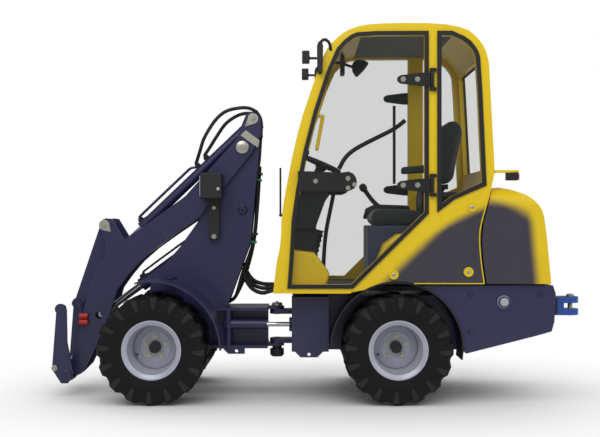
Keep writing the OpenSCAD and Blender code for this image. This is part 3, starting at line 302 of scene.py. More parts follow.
# Frames: the rear box, the front beam, the lift tower and the front fenders, welded from plate.
# Alkyd enamel in blue-grey, satin, with a thin dust low down. Axles and rear fenders have a
# duller black enamel.
paint = finish_of("blue_grey_enamel", "paint", "#252650", rough=0.36, grain_mm=2.4, depth=0.05,
                  dust=0.06, Coat_Weight=0.12, Coat_Roughness=0.2)
black = finish_of("black_enamel", "black", "#121318", rough=0.42, grain_mm=2.6, depth=0.06,
                  spread=0.2, dust=0.06)
dress(paint, "front_chassis lift_tower", edge=3)
dress(paint, "rear_chassis front_fenders")
dress(black, "rear_axle front_axle rear_fenders")

# Articulation: the pin between the frames with a greased cap above and a nut below,
# and the steering cylinder. All rods are hard-chromed, and mirror what is round them.
chrome = finish_of("hard_chrome", "rod", "#c9ccd2", rough=0.14, grain_mm=1.5, depth=0.02,
                   spread=0.05, Metallic=1.0)
dress(paint, "steer_barrel")
dress(chrome, "lift_rod tilt_rod steer_rod")
pin_foot_z, pin_head_z = 279, 537
nut_profile = [(30, 0), (30, 14), (44, 16), (44, 52), (34, 64), (10, 66)]
grease_cap_profile = [(34, 0), (34, 10), (28, 16), (8, 18), (6, 26)]
piece("pivot_foot", [lathe(nut_profile, (0, 0, pin_foot_z), (0, 0, -1), sides=36)], black,
      "front_frame")
piece("pivot_head", [lathe(grease_cap_profile, (0, 0, pin_head_z), (0, 0, 1), sides=32)], zinc,
      "front_frame")

# Boom: a pair of profiled plates on the tower's top pin, sprayed like the frames.
# Bolted zinc keepers lock its pins, zinc caps close the main pivot and black ones the lift pin.
dress(paint, "boom_arm", edge=3)
hands = ((1, "left"), (-1, "right"))
boom_y, keeper_t, keeper_r, pivot_plate_t = 125, 5, 33, 4
tower_y, lift_cap_t = 95, 4
keeper_bolt_r, keeper_screw_r, lift_cap_bolt_r = 10, 5, 9
# A keeper's round head: where it starts and how far it goes, in degrees from its tail.
head_start, head_sweep, head_steps = 70, 220, 18
pivot_plate_line = [(224, 1600), (190, 1630), (104, 1568), (116, 1522), (170, 1560)]
pivot_cap_profile = [(38, 0), (40, 2), (40, 7), (36, 10), (14, 10.5), (12, 13), (4, 13)]
lift_cap_profile = [(30, 0), (30, 4), (25, 6), (22, 3)]


def pin_of(name):
    """Where a joint's pin stands in x and z, to a millimetre."""
    x, _, z = joint_at(name)
    return round(x), round(z)


def slab(outline, y0, y1):
    """A plate with an outline in x and z, between two distances from the middle."""
    n = len(outline)
    points = [at(x, y, z) for y in (y0, y1) for x, z in outline]
    faces = [tuple(range(n)), tuple(range(n, 2 * n))]
    return points, faces + [(i, (i + 1) % n, n + (i + 1) % n, n + i) for i in range(n)]


def drop(centre, r, tip):
    """The outline of a keeper with a round head and a tail towards a tip."""
    cx, cz = centre
    away = math.atan2(tip[1] - cz, tip[0] - cx)
    turn = [away + math.radians(head_start + head_sweep * i / head_steps)
            for i in range(head_steps + 1)]
    return [(cx + r * math.cos(a), cz + r * math.sin(a)) for a in turn] + [tip]


boom_pin, lift_pin = pin_of("boom_lift"), pin_of("lift_barrel_swing")
tilt_pin, lever_pin = pin_of("tilt_barrel_swing"), pin_of("tilt_lever_swing")
# Each keeper's pin, the tip of its tail and the place of its small screw.
keepers = ((tilt_pin, (196, 1652), (185, 1664)), (lever_pin, (1027, 1000), (1036, 1010)))
for side, word in hands:
    out_way = (0, side, 0)
    face_y, keeper_y = side * boom_y, side * (boom_y + keeper_t)
    plates = [slab(drop(pin, keeper_r, tip), face_y, keeper_y) for pin, tip, _ in keepers]
    piece("pin_keepers_" + word, plates, zinc, "boom", soft=1.2)
    heads = []
    for (x, z), _, (screw_x, screw_z) in keepers:
        heads += bolt((x, keeper_y, z), out_way, keeper_bolt_r)
        heads += bolt((screw_x, keeper_y, screw_z), out_way, keeper_screw_r)
    piece("keeper_bolts_" + word, heads, zinc, "boom")
    piece("pivot_plate_" + word, [slab(pivot_plate_line, face_y, side * (boom_y + pivot_plate_t))],
          zinc, "boom", soft=1.0)
    cap = lathe(pivot_cap_profile, (boom_pin[0], keeper_y, boom_pin[1]), out_way, sides=40)
    piece("pivot_cap_" + word, [cap], zinc, "front_frame")
    cap = lathe(lift_cap_profile, (lift_pin[0], side * tower_y, lift_pin[1]), out_way, sides=32)
    foot = (lift_pin[0], side * (tower_y + lift_cap_t), lift_pin[1])
    piece("lift_pin_cap_" + word, [cap, *bolt(foot, out_way, lift_cap_bolt_r)], black, "front_frame")

# Headlamps: boxes of moulded black plastic, dull with a fine grain, on flat steel stays that are
# bolted to the tower. The ribbed lens is clear over a silvered bowl, so it reads as pale metal.
plastic = finish_of("moulded_black_plastic", "plastic", "#17181b", rough=0.5, grain_mm=1.1,
                    depth=0.2, spread=0.15)
ribbed_lens = finish_of("ribbed_lens", "rod", "#c9d2d6", rough=0.1, grain_mm=11, depth=0.4,
                        Metallic=0.5)
dress(plastic, "headlights", edge=8)
lens_y, lens_z, lens_half_w, lens_half_h = 199, 1283, 47, 63
lens_back_x, lens_front_x, lens_taper_share = 461, 466, 0.93
# Each stay's place, and the heights and radii of its bolts.
stay_x, stay_y, stay_bolts = 386, 149, ((972, 9), (1150, 7))
knob_place, knob_profile = (350, 261, 1262), [(10, 0), (10, 16), (7, 18)]
for side, word in hands:
    out_way = (0, side, 0)
    x, y, z = knob_place
    metal = [lathe(knob_profile, (x, side * y, z), out_way, sides=20)]
    for z, r in stay_bolts:
        metal += bolt((stay_x, side * stay_y, z), out_way, r)
    piece("lamp_knob_" + word, metal, zinc, "front_frame")
    points = [at(x, side * (lens_y + w * lens_half_w * share), lens_z + h * lens_half_h * share)
              for x, share in ((lens_back_x, 1), (lens_front_x, lens_taper_share))
              for w, h in ((-1, -1), (1, -1), (1, 1), (-1, 1))]
    walls = [(i, (i + 1) % 4, 4 + (i + 1) % 4, 4 + i) for i in range(4)]
    piece("lamp_lens_" + word, [(points, [(0, 1, 2, 3), (4, 5, 6, 7), *walls])], ribbed_lens,
          "front_frame", soft=2)

# Cylinders: honed steel barrels in the frame's enamel, with bent steel pipes clipped along them
# to the ports at their heads, and the lever and link that the tilt cylinder works.
dress(paint, "lift_barrel tilt_barrel")
dress(paint, "tilt_lever tilt_link", edge=2)
# Directions of the cylinders in x and z at rest, from the pin to the rod's eye.
tilt_way = Vector((0.7235, -0.6903))
lift_way = Vector((0.8062, -0.5917))
pipe_r, pipe_y = 7, 14
# Distances along a cylinder from its pin, and off its axis.
tilt_pipe_run = ((470, 40), (500, 58), (560, 60), (900, 60), (945, 56), (955, 38))
lift_pipe_run = ((300, 40), (330, 58), (400, 62), (700, 62), (745, 58), (758, 40))
tilt_port_places, tilt_port_off = (380, 455, 950), 26
tilt_port_profile = [(22, 0), (22, 18), (18, 24), (12, 24), (12, 32)]
lift_port_place, lift_port_off = 758, 30
lift_port_profile = [(24, 0), (24, 20), (18, 26), (12, 26)]


def beside(foot, way, distance, off):
    """A point along a cylinder, lifted off its axis."""
    return (foot[0] + way.x * distance - way.y * off, foot[1] + way.y * distance + way.x * off)


def sweep(path, radius, steps=8, sides=14):
    """A round bar or hose along a smooth curve through a path."""
    knots = [at(*p) for p in path]
    ends = [2 * knots[0] - knots[1], *knots, 2 * knots[-1] - knots[-2]]
    line = []
    for a, b, c, d in zip(ends, ends[1:], ends[2:], ends[3:]):
        for t in (i / steps for i in range(steps)):
            line.append(0.5 * (2 * b + (c - a) * t + (2 * a - 5 * b + 4 * c - d) * t * t
                               + (3 * b - a - 3 * c + d) * t ** 3))
    line.append(knots[-1])
    points, faces, side = [], [], None
    for i, p in enumerate(line):
        way = (line[min(i + 1, len(line) - 1)] - line[max(i - 1, 0)]).normalized()
        side = (way.orthogonal() if side is None else side - way * side.dot(way)).normalized()
        other = way.cross(side)
        for k in range(sides):
            a = 2 * math.pi * k / sides
            points.append(p + (side * math.cos(a) + other * math.sin(a)) * radius / 1000)
    for i in range(len(line) - 1):
        for k in range(sides):
            j = (k + 1) % sides
            faces.append((i * sides + k, i * sides + j, (i + 1) * sides + j, (i + 1) * sides + k))
    return points, faces + [tuple(range(sides)), tuple(range(len(points) - sides, len(points)))]


def pipe(foot, way, run, y):
    """A bent pipe along a cylinder."""
    line = [beside(foot, way, distance, off) for distance, off in run]
    return sweep([(x, y, z) for x, z in line], pipe_r, steps=6, sides=12)


def port(profile, foot, way, distance, off):
    """A hexagon fitting that stands square on a cylinder."""
    x, z = beside(foot, way, distance, off)
    return lathe(profile, (x, 0, z), (-way.y, 0, way.x), sides=6)


pipes = [pipe(tilt_pin, tilt_way, tilt_pipe_run, y) for y in (-pipe_y, pipe_y)]
piece("tilt_pipes", pipes, paint, "tilt_barrel_body")
ports = [port(tilt_port_profile, tilt_pin, tilt_way, d, tilt_port_off) for d in tilt_port_places]
piece("tilt_ports", ports, black, "tilt_barrel_body")
piece("lift_pipe", [pipe(lift_pin, lift_way, lift_pipe_run, 0)], paint, "lift_barrel_body")
piece("lift_port", [port(lift_port_profile, lift_pin, lift_way, lift_port_place, lift_port_off)],
      black, "lift_barrel_body")

# Hoses: wire-braided rubber. Two arcs go from the tower over the boom's ear to the tilt cylinder,
# each in two lengths that meet in a sleeve; a bundle runs down the tower's back, and three loops
# cross the pivot to the pump. Their ends are screwed to fittings.
hose_r, sleeve_r, cab_hose_r = 11, 15, 13
fitting_off = 56
# Towards its fitting each arc ends in points at these shares of the way and of its distance out.
end_shares = ((0.5, 0.6), (0.82, 0.15), (1, 0))
# Each arc's distance out, its port's place along the cylinder and its route.
boom_hoses = (
    (56, 455, ((128, 1330), (111, 1450), (104, 1556), (98, 1650), (108, 1712), (136, 1756),
               (180, 1776), (240, 1776), (320, 1755), (387, 1698), (453, 1593))),
    (-56, 380, ((128, 1330), (120, 1450), (114, 1556), (106, 1645), (114, 1700), (140, 1744),
                (190, 1756), (256, 1740), (330, 1688), (392, 1600))))
for k, (y, distance, route) in enumerate(boom_hoses, 1):
    port_x, port_z = beside(tilt_pin, tilt_way, distance, fitting_off)
    last_x, last_z = route[-1]
    path = [(x, y, z) for x, z in route]
    path += [(last_x + (port_x - last_x) * t, y * out, last_z + (port_z - last_z) * t)
             for t, out in end_shares]
    rising = piece("boom_hose_low_%d" % k, [sweep(path[:5], hose_r)], hose_rubber, None)
    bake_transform(rising)
    piece("boom_hose_%d" % k, [sweep(path[4:], hose_r)], hose_rubber, "tilt_barrel_body")
    piece("boom_hose_sleeve_%d" % k, [sweep(path[3:6], sleeve_r)], hose_rubber, "boom")
bundle = [sweep([(110, y, 1412), (124, y, 1180), (148, y, 940), (198 + 6 * k, y, 740),
                 (258, y * 0.8, 600), (300, y * 0.5, 560)], hose_r)
          for k, y in enumerate((-40, -14, 14, 40))]
hoses = piece("tower_hose_bundle", bundle, hose_rubber, "front_frame")
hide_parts("tower_hoses")
for k, (y, dip) in enumerate(((-45, 0), (0, 24), (45, 50)), 1):
    route = [(214, y, 800 - dip), (190, y, 740 - dip), (150, y, 690 - dip), (90, y * 1.1, 668 - dip),
             (20, y * 1.2, 664 - dip * 0.6), (-70, y * 1.2, 650 - dip * 0.3),
             (-130, y * 1.2, 646 - dip * 0.2)]
    loop = piece("cab_hose_%d" % k, [sweep(route, cab_hose_r)], hose_rubber, None)
    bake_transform(loop)

# Hose ties and clips: green nylon ties drawn tight round the bundle, and black steel straps
# on two stays each from the tower's plates. Moulded nylon has a soft, even shine.
green_tie = finish_of("green_nylon", "plastic", "#1f8a62", rough=0.45, grain_mm=2, depth=0.1)
tie_half_w = 54
tie_lines = ([(96, 1320), (134, 1322), (134, 1334), (96, 1332)],
             [(131, 926), (165, 932), (163, 946), (129, 940)])
piece("hose_ties", [slab(line, -tie_half_w, tie_half_w) for line in tie_lines], green_tie,
      "front_frame", soft=2)
clip_half_w, clip_r, clip_stay_l, clip_stay_r = 74, 8, 50, 6
clip_places = ((100, 1366), (130, 985))
clips = []
for x, z in clip_places:
    clips.append(sweep([(x, -clip_half_w, z), (x, clip_half_w, z)], clip_r, steps=1))
    clips += [sweep([(x, y, z), (x + clip_stay_l, y, z)], clip_stay_r, steps=1)
              for y in (-clip_half_w, clip_half_w)]
piece("hose_clips", clips, black, "front_frame")

# Quick coupler: a welded carrier in the frame's enamel with zinc-plated lock pins,
# and two quick couplings in smooth red enamel for an attachment's hoses on the boom.
red = finish_of("red_cap_enamel", "red", "#b3261c", rough=0.35, grain_mm=2.4, depth=0.05)
dress(paint, "coupler", edge=3)
dress(zinc, "coupler_pins")
dress(red, "aux_couplers")
leftward = (0, 1, 0)
lock_pin_end, lock_pin_head_r, coupler_boss_y = (1348, 234, 173.8), 11, 228
boss_profile = [(40, 0), (40, 6), (34, 9), (12, 9), (10, 13)]


def mirrored(shapes):
    """The shapes and their copies on the other side of the machine."""
    return shapes + [([Vector((p.x, -p.y, p.z)) for p in points], faces)
                     for points, faces in shapes]


piece("lock_pin_heads", mirrored(bolt(lock_pin_end, leftward, lock_pin_head_r)), zinc,
      "coupler_body")
x, z = pin_of("coupler_tilt")
boss = lathe(boss_profile, (x, coupler_boss_y, z), leftward, sides=32)
piece("coupler_bosses", mirrored([boss]), paint, "coupler_body")

# Cab: a cage welded from steel tube and a pressed roof, in yellow enamel that is rather glossier
# than the frames', on a black floor pan.
cab_yellow = "#e8c600"
yellow = finish_of("yellow_enamel", "yellow", cab_yellow, rough=0.3, grain_mm=2.4, depth=0.04,
                   spread=0.05, Coat_Weight=0.18, Coat_Roughness=0.15)
dress(yellow, "cab_frame", edge=14)
dress(yellow, "cab_roof", edge=12)
dress(black, "cab_floor", edge=4)

# Panes: toughened glass with a light grey tint, glued or hung in the cage.
# What stands behind stays clear but duller, and a faint film makes the gloss uneven.
glass, tree, out = material("tinted_toughened_glass")
film_patch_mm, glass_share = 400, 0.11
place = add(tree, "TexCoord").outputs["Object"]
film = add(tree, "TexNoise", Vector=place, Scale=1000 / film_patch_mm, Detail=4.0)
smear = add(tree, "MapRange", Value=film.outputs["Fac"], i3=0.02, i4=0.09)
pane = add(tree, "BsdfPrincipled", Base_Color=linear("#3c4644"), Roughness=smear.outputs[0],
           Alpha=glass_share, IOR=1.5)
tree.links.new(pane.outputs[0], out.inputs[0])
dress(glass, "cab_glass left_door_glass right_door_glass")

# Gaskets: flat bands along the edges of the doors and the quarter panes, and round strips round
# the front and back panes, all in black extruded rubber that is dull and slightly grainy.
gasket = finish_of("gasket_rubber", "hose", "#101114", rough=0.55, grain_mm=1.4, depth=0.12,
                   spread=0.2)
cab_front_x, cab_l, cab_foot_z, cab_h = 13, 1300, 644, 1587
band_w, band_t, band_lap, pane_y = 24, 3.6, 2, 446.4
strip_r, strip_off, strip_y, strip_mid_y = 7, 6, 368, 120
# Outlines as shares of the cab's length and height from its front foot.
door_shares = ((0.064, 0.018), (0.076, 0.148), (0.086, 0.309), (0.155, 0.604), (0.27, 0.891),
               (0.338, 0.951), (0.392, 0.969), (0.702, 0.97), (0.702, 0.295), (0.36, 0.018))
quarter_shares = ((0.741, 0.969), (0.807, 0.969), (0.88, 0.943), (0.922, 0.901), (0.935, 0.862),
                  (0.961, 0.4), (0.818, 0.349), (0.741, 0.301))
pillar_shares = ((0.015, 0.108), (0.035, 0.188), (0.04, 0.309), (0.111, 0.604), (0.196, 0.81),
                 (0.231, 0.891))
screen_foot_shares, screen_top_shares = (0.008, 0.06), (0.221, 0.868)
back_shares = ((1.0, 0.462), (0.974, 0.854), (0.968, 0.868))


def cab_point(along_share, up_share):
    """A point of the cab's side, from shares of its length and height."""
    return (cab_front_x - along_share * cab_l, cab_foot_z + up_share * cab_h)


def inset(outline, d):
    """An outline that runs anticlockwise in x and z, moved inwards by d."""
    moved = []
    for a, b, c in zip(outline[-1:] + outline[:-1], outline, outline[1:] + outline[:1]):
        u, v = (Vector(q) - Vector(p) for p, q in ((a, b), (b, c)))
        m, k = (Vector((-w.y, w.x)).normalized() for w in (u, v))
        moved.append(tuple(Vector(b) + (m + k) * d / (1 + m.dot(k))))
    return moved


def eased(line):
    """A line with its corners cut, which keeps both ends, as in the part's source."""
    cut = [tuple(Vector(a).lerp(Vector(b), t)) for a, b in zip(line, line[1:])
           for t in (0.25, 0.75)]
    return [line[0], *cut, line[-1]]


def hoop(outer, inner, y0, y1):
    """A band between two outlines with as many points each."""
    n = len(outer)
    points = [at(x, y, z) for y in (y0, y1) for line in (outer, inner) for x, z in line]
    faces = []
    for i in range(n):
        j = (i + 1) % n
        faces += [(i, j, n + j, n + i), (2 * n + i, 2 * n + j, 3 * n + j, 3 * n + i),
                  (i, j, 2 * n + j, 2 * n + i), (n + i, n + j, 3 * n + j, 3 * n + i)]
    return points, faces


door_line = [cab_point(*p) for p in door_shares]
door_line = eased(door_line[:8]) + door_line[8:]
quarter_line = [cab_point(*p) for p in quarter_shares]
quarter_line = quarter_line[:1] + eased(quarter_line[1:6]) + quarter_line[6:]
for side, word in hands:
    inner_y, outer_y = side * pane_y, side * (pane_y + band_t)
    band = hoop(door_line, inset(door_line, band_w), inner_y, outer_y)
    piece("door_gasket_" + word, [band], gasket, "door_" + word, soft=1.2)
    band = hoop(inset(quarter_line, -band_lap), inset(quarter_line, band_w), inner_y, outer_y)
    piece("quarter_gasket_" + word, [band], gasket, "rear_frame", soft=1.2)
pillar = eased([cab_point(*p) for p in pillar_shares])
front_line = [cab_point(*screen_foot_shares), *pillar[:-2], cab_point(*screen_top_shares)]
back_line = [cab_point(*p) for p in back_shares]
strips = []
for line, way in ((front_line, -1), (back_line, 1)):
    path = [(x + way * strip_off, z) for x, z in line]
    for y in (-strip_y, strip_y):
        strips.append(sweep([(x, y, z) for x, z in path], strip_r, steps=4, sides=10))
    for x, z in (path[0], path[-1]):
        across = [(x, y, z) for y in (-strip_y, -strip_mid_y, strip_mid_y, strip_y)]
        strips.append(sweep(across, strip_r, steps=2, sides=10))
piece("screen_gaskets", strips, gasket, "rear_frame")

# Door hinges and latches: black steel straps bolted through the glass with zinc screws,
# turning between knuckles that are welded to the pillar.
dress(black, "left_door_metal right_door_metal", edge=3)
hinge_x, hinge_y, _ = joint_at("door_left_hinge")
hinge_heights = (1898, 1279)
strap_y, strap_bolt_xs, strap_bolt_r = 459.4, (-748, -832), 9
latch_y, latch_bolt_r = 472.4, 8
latch_bolts = ((-425, 1318), (-463, 1282), (-425, 1262), (-236, 1302))
knuckle_r, knuckle_l, knuckle_edge, knuckle_starts = 13, 20, 2, (-66, 46)
tab_back, tab_front, tab_inner_y, tab_outer_y = 26, 12, 440.2, 458
for side, word in hands:
    out_way = (0, side, 0)
    heads = []
    for z in hinge_heights:
        for x in strap_bolt_xs:
            heads += bolt((x, side * strap_y, z), out_way, strap_bolt_r)
    for x, z in latch_bolts:
        heads += bolt((x, side * latch_y, z), out_way, latch_bolt_r)
    piece("door_bolts_" + word, heads, zinc, "door_" + word)
    knuckles = []
    profile = [(knuckle_r - knuckle_edge, 0), (knuckle_r, knuckle_edge),
               (knuckle_r, knuckle_l - knuckle_edge), (knuckle_r - knuckle_edge, knuckle_l)]
    x0, x1 = hinge_x - tab_back, hinge_x + tab_front
    for low in (z + start for z in hinge_heights for start in knuckle_starts):
        high = low + knuckle_l
        knuckles.append(lathe(profile, (hinge_x, side * hinge_y, low), (0, 0, 1), sides=20))
        knuckles.append(slab([(x0, low), (x1, low), (x1, high), (x0, high)],
                             side * tab_inner_y, side * tab_outer_y))
    piece("hinge_knuckles_" + word, knuckles, black, "rear_frame", soft=1.5)

# Cab fittings: work lamps at the front corners, a wiper, the driver's mirror, a round mirror
# under the roof, and outer mirrors that hang on bent tubes. All are moulded black plastic.
dress(plastic, "work_lights", edge=5)
dress(plastic, "mirror", edge=8)
dress(plastic, "wiper")
mirror_tube_r = 9
arm_route = [(-326, 438, 2072), (-316, 456, 2110), (-290, 466, 2128), (-266, 468, 2112),
             (-264, 468, 2080)]
arms = [sweep(arm_route, mirror_tube_r, sides=12)]
piece("mirror_arms", mirrored(arms), plastic, "rear_frame")
head_line = [(-246, 1938), (-244, 2090), (-252, 2114), (-272, 2114), (-280, 2090), (-276, 1938),
             (-268, 1928), (-254, 1928)]
head_y0, head_y1 = 446, 492
piece("mirror_heads", mirrored([slab(head_line, head_y0, head_y1)]), plastic, "rear_frame", soft=6)
round_y, round_place, round_way = -60, (-535, -60, 2040), (-0.75, 0, -0.66)
round_profile = [(8, -64), (26, -58), (50, -30), (60, 0), (60, 10), (52, 16), (4, 20)]
stem_line = ((-352, 2080), (-400, 2078), (-450, 2062), (-500, 2046))
stem = sweep([(x, round_y, z) for x, z in stem_line], mirror_tube_r, sides=12)
piece("round_mirror", [stem, lathe(round_profile, round_place, round_way, sides=32)], plastic,
      "rear_frame")

# Driver's place: moulded dashboard and levers, sheet-steel wheel boxes and a heater box in the
# cab's yellow, a seat pedestal in satin grey-blue enamel, tubular bars inside the right door
# and a roof lining of pressed felt, which is matt and woolly.
pedestal = finish_of("grey_blue_enamel", "base", "#3a4160", rough=0.42, grain_mm=2.4, depth=0.06)
lining = finish_of("felt_roof_lining", "fabric", "#6d6a70", rough=0.8, grain_mm=1.7, depth=0.3)
dress(pedestal, "seat_base", edge=10)
dress(plastic, "console", edge=12)
dress(plastic, "steering_wheel")
# Each plate-like piece of the cab: its outline, where it starts and ends across, look and round.
fittings = {
    "dashboard": ([(-118, 1010), (-110, 1180), (-190, 1300), (-300, 1310), (-350, 1262),
                   (-300, 1190), (-235, 1010)], -170, 170, plastic, 16),
    "joystick_pod": ([(-560, 1080), (-580, 1150), (-640, 1178), (-860, 1170), (-900, 1080)],
                     -322, -236, plastic, 14),
    "heater_box": ([(-60, 678), (-300, 678), (-322, 760), (-230, 880), (-70, 900)],
                   150, 388, yellow, 14),
    "roof_lining": ([(-512, 2168), (-512, 2184), (-1050, 2184), (-1050, 2168)],
                    -392, 392, lining, 4)}
for name, (outline, y0, y1, look, soft) in fittings.items():
    piece(name, [slab(outline, y0, y1)], look, "rear_frame", soft=soft)
box_line = [(-575, 690), (-590, 800), (-640, 930), (-720, 990), (-815, 1000), (-926, 1000),
            (-926, 790), (-860, 770), (-714, 740), (-620, 720)]
box_inner_y, box_outer_y = 240, 392
piece("wheel_boxes", mirrored([slab(box_line, box_inner_y, box_outer_y)]), yellow, "rear_frame",
      soft=18)
fold_r, fold_depth, fold_pitch, fold_count = 44, 8, 16, 11
folds = [(fold_r - fold_depth * (k % 2), fold_pitch * k) for k in range(fold_count)]
bellows_foot, bellows_way = (-215, 60, 860), (-0.25, 0, 1)
piece("column_bellows", [lathe(folds, bellows_foot, bellows_way, sides=24)], hose_rubber,
      "rear_frame")
spinner_profile = [(6, 0), (6, 14), (18, 24), (22, 38), (18, 50), (8, 54)]
spinner_foot, spinner_way = (-190, 40, 1462), (0.2, 0, 1)
piece("steering_knob", [lathe(spinner_profile, spinner_foot, spinner_way, sides=20)], plastic,
      "rear_frame")
joystick_route = [(-664, -262, 1165), (-630, -262, 1195), (-590, -262, 1246), (-566, -262, 1284)]
joystick_r, joystick_top, joystick_way = 15, (-574, -262, 1266), (0.5, 0, 0.85)
grip_profile = [(16, 0), (24, 10), (26, 30), (20, 46), (6, 52)]
piece("joystick", [sweep(joystick_route, joystick_r, steps=6),
                   lathe(grip_profile, joystick_top, joystick_way, sides=20)], plastic, "rear_frame")
gear_route = [(-294, -90, 760), (-310, -90, 980), (-352, -90, 1200), (-368, -90, 1285)]
gear_r, gear_top, gear_way = 13, (-366, -90, 1276), (-0.15, 0, 1)
gear_knob_profile = [(14, 0), (20, 10), (20, 28), (12, 40)]
piece("gear_lever", [sweep(gear_route, gear_r, steps=6),
                     lathe(gear_knob_profile, gear_top, gear_way, sides=18)], plastic, "rear_frame")
rail_y, rail_r, post_r = -424, 15, 10
rail_line = ((-409, 1420), (-457, 1501), (-545, 1569), (-769, 1684), (-857, 1748))
post_line = ((-783, 1318), (-783, 1580), (-783, 1847))
piece("right_door_bars", [sweep([(x, rail_y, z) for x, z in rail_line], rail_r),
                          sweep([(x, rail_y, z) for x, z in post_line], post_r, steps=2)],
      black, "door_right")

# Driver's seat: foam pads on a steel frame, with a plastic armrest. The woven cover is dark and
# matt with a soft sheen. Each pad swells in a cloth run from a smaller form, by 16 mm at most.
seat_cloth = finish_of("woven_seat_cloth", "fabric", "#22252d", rough=0.85, grain_mm=0.7, depth=0.5,
                       spread=0.18, drift_mm=17, Sheen_Weight=0.3)
pad_soft, pad_voxel_mm, swell_force, swell_frames = 26, 9, 4, 16


def bake(thing):
    """Makes what a piece's modifiers give its own mesh."""
    view = bpy.context.evaluated_depsgraph_get()
    mesh = bpy.data.meshes.new_from_object(thing.evaluated_get(view))
    thing.modifiers.clear()
    thing.data = mesh
    return mesh


def pad(name, outline, half_w, cap):
    """A stuffed pad from an outline in x and z, swollen with pressure and held to a cap."""
    made = piece(name, [slab(outline, -half_w, half_w)], seat_cloth, None, soft=pad_soft)
    remesh = made.modifiers.new("even", "REMESH")
    remesh.mode = "VOXEL"
    remesh.voxel_size = pad_voxel_mm / 1000
    even = bake(made)
    before = [v.co.copy() for v in even.vertices]
    swell = made.modifiers.new("swell", "CLOTH")
    swell.settings.use_pressure = True
    swell.settings.uniform_pressure_force = swell_force
    swell.settings.effector_weights.gravity = 0
    swell.point_cache.frame_start = 1
    swell.point_cache.frame_end = swell_frames
    for step in range(1, swell_frames + 1):
        scene.frame_set(step)
    for vertex, start in zip(bake(made).vertices, before):
        moved = vertex.co - start
        if moved.length > cap / 1000:
            vertex.co = start + moved.normalized() * cap / 1000
    scene.frame_set(1)
    made.data.shade_smooth()
    made.data.materials.clear()
    made.data.materials.append(seat_cloth)
    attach(made, "rear_frame")
    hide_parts("seat")


pad("seat_cushion", [(-575, 1052), (-568, 1100), (-600, 1132), (-900, 1120), (-912, 1052)],
    half_w=205, cap=14)
pad("seat_back", [(-985, 1285), (-975, 1420), (-1020, 1640), (-1060, 1690), (-1120, 1690),
                  (-1138, 1640), (-1095, 1440), (-1068, 1290)],
    half_w=200, cap=16)
seat_frame_half_w, armrest_y0, armrest_y1 = 118, 226, 272
seat_frame_line = [(-900, 1060), (-900, 1262), (-1060, 1268), (-1060, 1292), (-924, 1290),
                   (-924, 1060)]
piece("seat_frame", [slab(seat_frame_line, -seat_frame_half_w, seat_frame_half_w)], black,
      "rear_frame", soft=4)
armrest_line = [(-757, 1352), (-760, 1395), (-905, 1408), (-1000, 1420), (-1000, 1380),
                (-905, 1360)]
piece("armrest", [slab(armrest_line, armrest_y0, armrest_y1)], plastic, "rear_frame", soft=12)

# Side panels and hood: pressed sheet in yellow, airbrushed to dark grey away from their edges.
# Screwed caps and rolled beads stand out from the panels.
panel_y, bead_y, screw_y = 440, 440.5, 443
# Each line of a fade: a point, an inward direction and the widths where it starts and ends.
panel_edges = ((-440, 648, -0.69, -0.72, 55, 130), (-960, 1115, -0.45, -0.9, 45, 115),
               (-1262, 1241, -0.2, -0.98, 45, 115))
hood_edges = ((-1296, 1273, 0.1, -1, 45, 130), (-1487, 1216, 0.5, -0.87, 40, 140),
              (-1576, 1069, 1, -0.09, 35, 105))


def airbrushed(name, edges):
    """Yellow that fades to dark grey inside a set of edges."""
    made, tree, out = material(name)
    colour, place = drifting(tree, cab_yellow, 250, 0.05)
    depth = None
    for x, z, nx, nz, start, end in edges:
        inward = Vector((nx, 0, nz)).normalized()
        far = add(tree, "VectorMath", {"operation": "DOT_PRODUCT"}, i0=place, i1=inward)
        zero = at(x, 0, z).dot(inward)
        step = add(tree, "MapRange", {"interpolation_type": "SMOOTHSTEP"},
                   Value=far.outputs["Value"], i1=zero + start / 1000, i2=zero + end / 1000)
        depth = step if depth is None else add(
            tree, "Math", {"operation": "MULTIPLY"}, i0=depth.outputs[0], i1=step.outputs[0])
    grey, _ = drifting(tree, "#3a3642", 200, 0.08)
    mix = add(tree, "Mix", {"data_type": "RGBA"}, Factor=depth.outputs[0], i6=colour, i7=grey)
    surface(tree, out, mix.outputs[2], place, 0.32, 2.4, 0.04,
            {"Coat_Weight": 0.18, "Coat_Roughness": 0.18})
    return made


dress(airbrushed("yellow_to_grey_panel", panel_edges), "side_panels", edge=8)
dress(airbrushed("yellow_to_grey_hood", hood_edges), "hood", edge=8)
cap_places = ((-695, 754), (-1155, 1151), (-1133, 770))
cap_profile = [(29, 0), (29, 4), (26, 7), (22, 7), (20, 4), (12, 4), (10, 6), (3, 6)]
screw_profile = [(13, 0), (13, 3), (10, 5), (4, 5)]
caps = [lathe(cap_profile, (x, panel_y, z), leftward, sides=32) for x, z in cap_places]
piece("panel_caps", mirrored(caps), yellow, "rear_frame")
screws = [lathe(screw_profile, (x, screw_y, z), leftward, sides=6) for x, z in cap_places]
piece("panel_screws", mirrored(screws), zinc, "rear_frame")
tall_bead_r, low_bead_r, low_bead_z = 4, 3.5, 702
tall_bead_line = ((-1256, 1226), (-1207, 1049), (-1198, 953), (-1207, 829), (-1225, 703))
low_bead_xs = (-1225, -1100, -950, -814)
beads = [sweep([(x, bead_y, z) for x, z in tall_bead_line], tall_bead_r, sides=10),
         sweep([(x, bead_y, low_bead_z) for x in low_bead_xs], low_bead_r, steps=2, sides=10)]
piece("panel_beads", mirrored(beads), yellow, "rear_frame")

